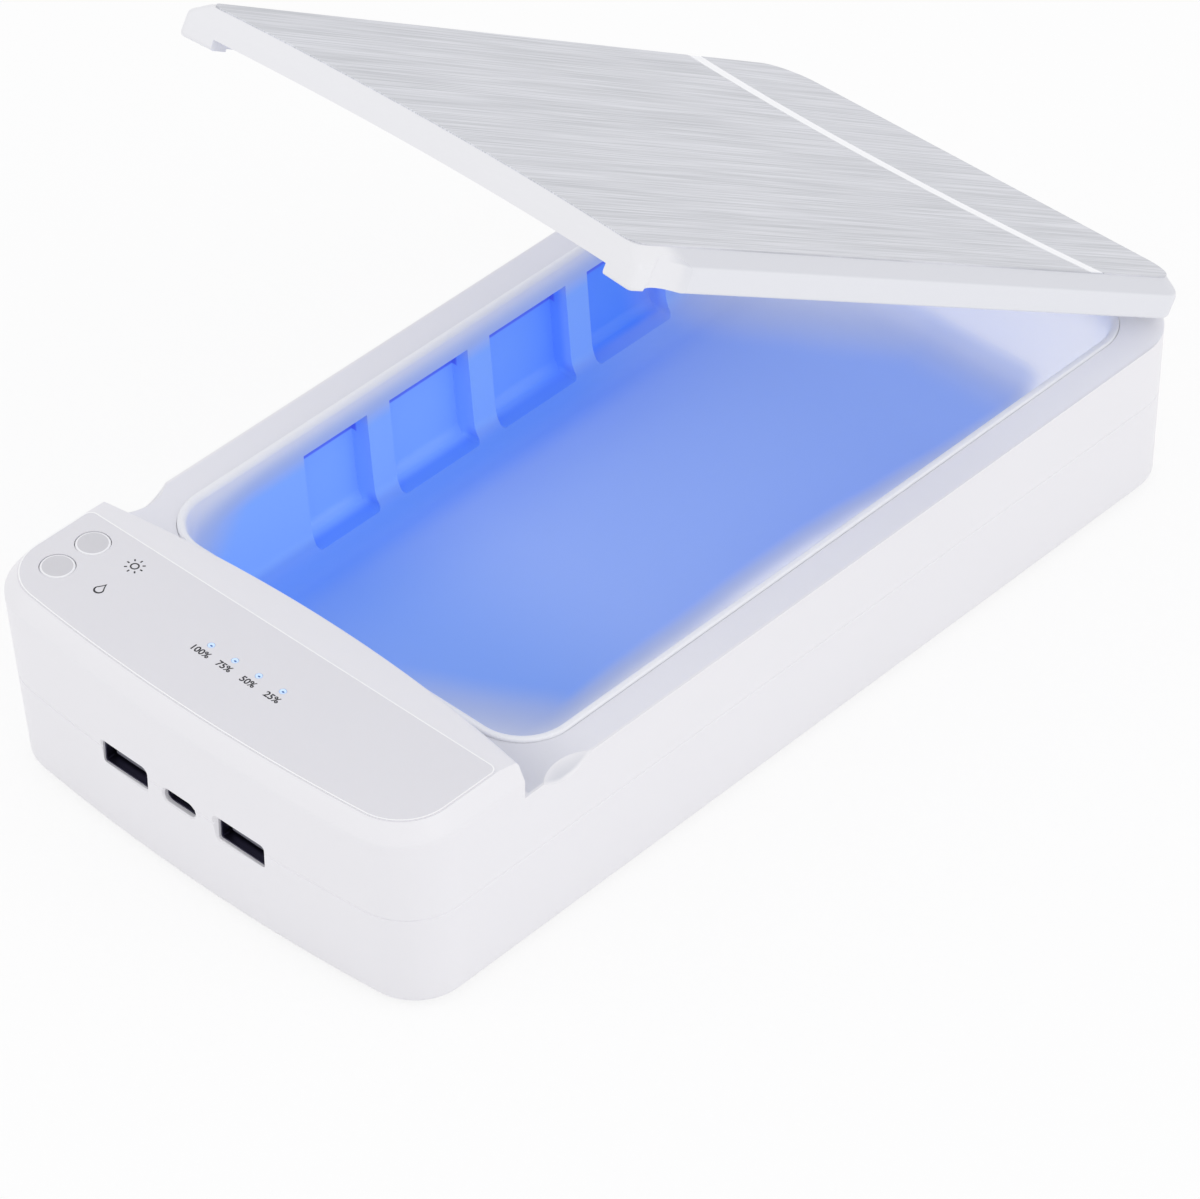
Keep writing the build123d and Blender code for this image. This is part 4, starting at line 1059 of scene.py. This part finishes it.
def contactRow(name, node, options):
    low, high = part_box(node)
    width, length, thickness = options["size"]
    start = (
        (low.x + high.x) / 2 - options["pitch"] * (options["count"] - 1) / 2,
        low.y + length / 2 + options["inset"],
        low.z - thickness / 2,
    )
    mesh = grown(name, rowTree, {
        "Count": options["count"], "Start": start, "Pitch": options["pitch"],
        "Size": (width, length, thickness), "Material": contactGold,
    })
    joinedPiece(name, [mesh], contactGold, "base")


contactRow("usbContactsLeft", "usb_a_tongue_left", usbContactSet)
contactRow("usbContactsRight", "usb_a_tongue_right", usbContactSet)
contactRow("chargeContacts", "usb_c_tongue", chargeContactSet)
print("icons and contacts made")


# studio
studioSet = {
    "floorSize": 8.0, "floorColor": (250, 250, 251), "floorGlow": 0.82, "skyStrength": 0.86,
    "aim": (0.0, 0.0, 0.04),
}
lightSet = {
    "keyLight": {"place": (-1.1, -1.7, 1.2), "size": 1.6, "energy": 4.6},
    "fillLight": {"place": (1.9, 0.3, 1.2), "size": 1.6, "energy": 7.0},
}


def studioFloor(options):
    mesh = bpy.data.meshes.new("studioFloor")
    half = options["floorSize"] / 2
    corners = [(-half, -half, 0), (half, -half, 0), (half, half, 0), (-half, half, 0)]
    mesh.from_pydata(corners, [], [(0, 1, 2, 3)])
    floor = bpy.data.objects.new("studioFloor", mesh)
    scene.collection.objects.link(floor)
    material = bpy.data.materials.new("floorPaper")
    material.use_nodes = True
    bench = Bench(material.node_tree)
    seen = bench.seenBy("Is Camera Ray", "Is Glossy Ray", "Is Transmission Ray")
    paper = bench.add("ShaderNodeBsdfDiffuse", {}, {"Color": tint(options["floorColor"])})
    glow = bench.add("ShaderNodeEmission", {}, {"Color": white, "Strength": 1.0})
    share = seen * options["floorGlow"]
    blend = bench.add("ShaderNodeMixShader", {}, {0: share, 1: paper, 2: glow})
    bench.add("ShaderNodeOutputMaterial", {}, {"Surface": blend})
    mesh.materials.append(material)


def studioSky(options):
    world = bpy.data.worlds.new("studioSky")
    world.use_nodes = True
    scene.world = world
    bench = Bench(world.node_tree)
    seen = bench.seenBy("Is Camera Ray", "Is Glossy Ray")
    strength = seen * (1.0 - options["skyStrength"]) + options["skyStrength"]
    sky = bench.add("ShaderNodeBackground", {}, {"Color": white, "Strength": strength})
    bench.add("ShaderNodeOutputWorld", {}, {"Surface": sky})


def softLight(name, place, size, energy):
    light = bpy.data.lights.new(name, "AREA")
    light.size = size
    light.energy = energy
    lamp = bpy.data.objects.new(name, light)
    lamp.location = place
    lamp.rotation_mode = "QUATERNION"
    aim = Vector(studioSet["aim"]) - Vector(place)
    lamp.rotation_quaternion = aim.to_track_quat("-Z", "Y")
    scene.collection.objects.link(lamp)


studioFloor(studioSet)
studioSky(studioSet)
for name, options in lightSet.items():
    softLight(name, **options)
print("studio lit")
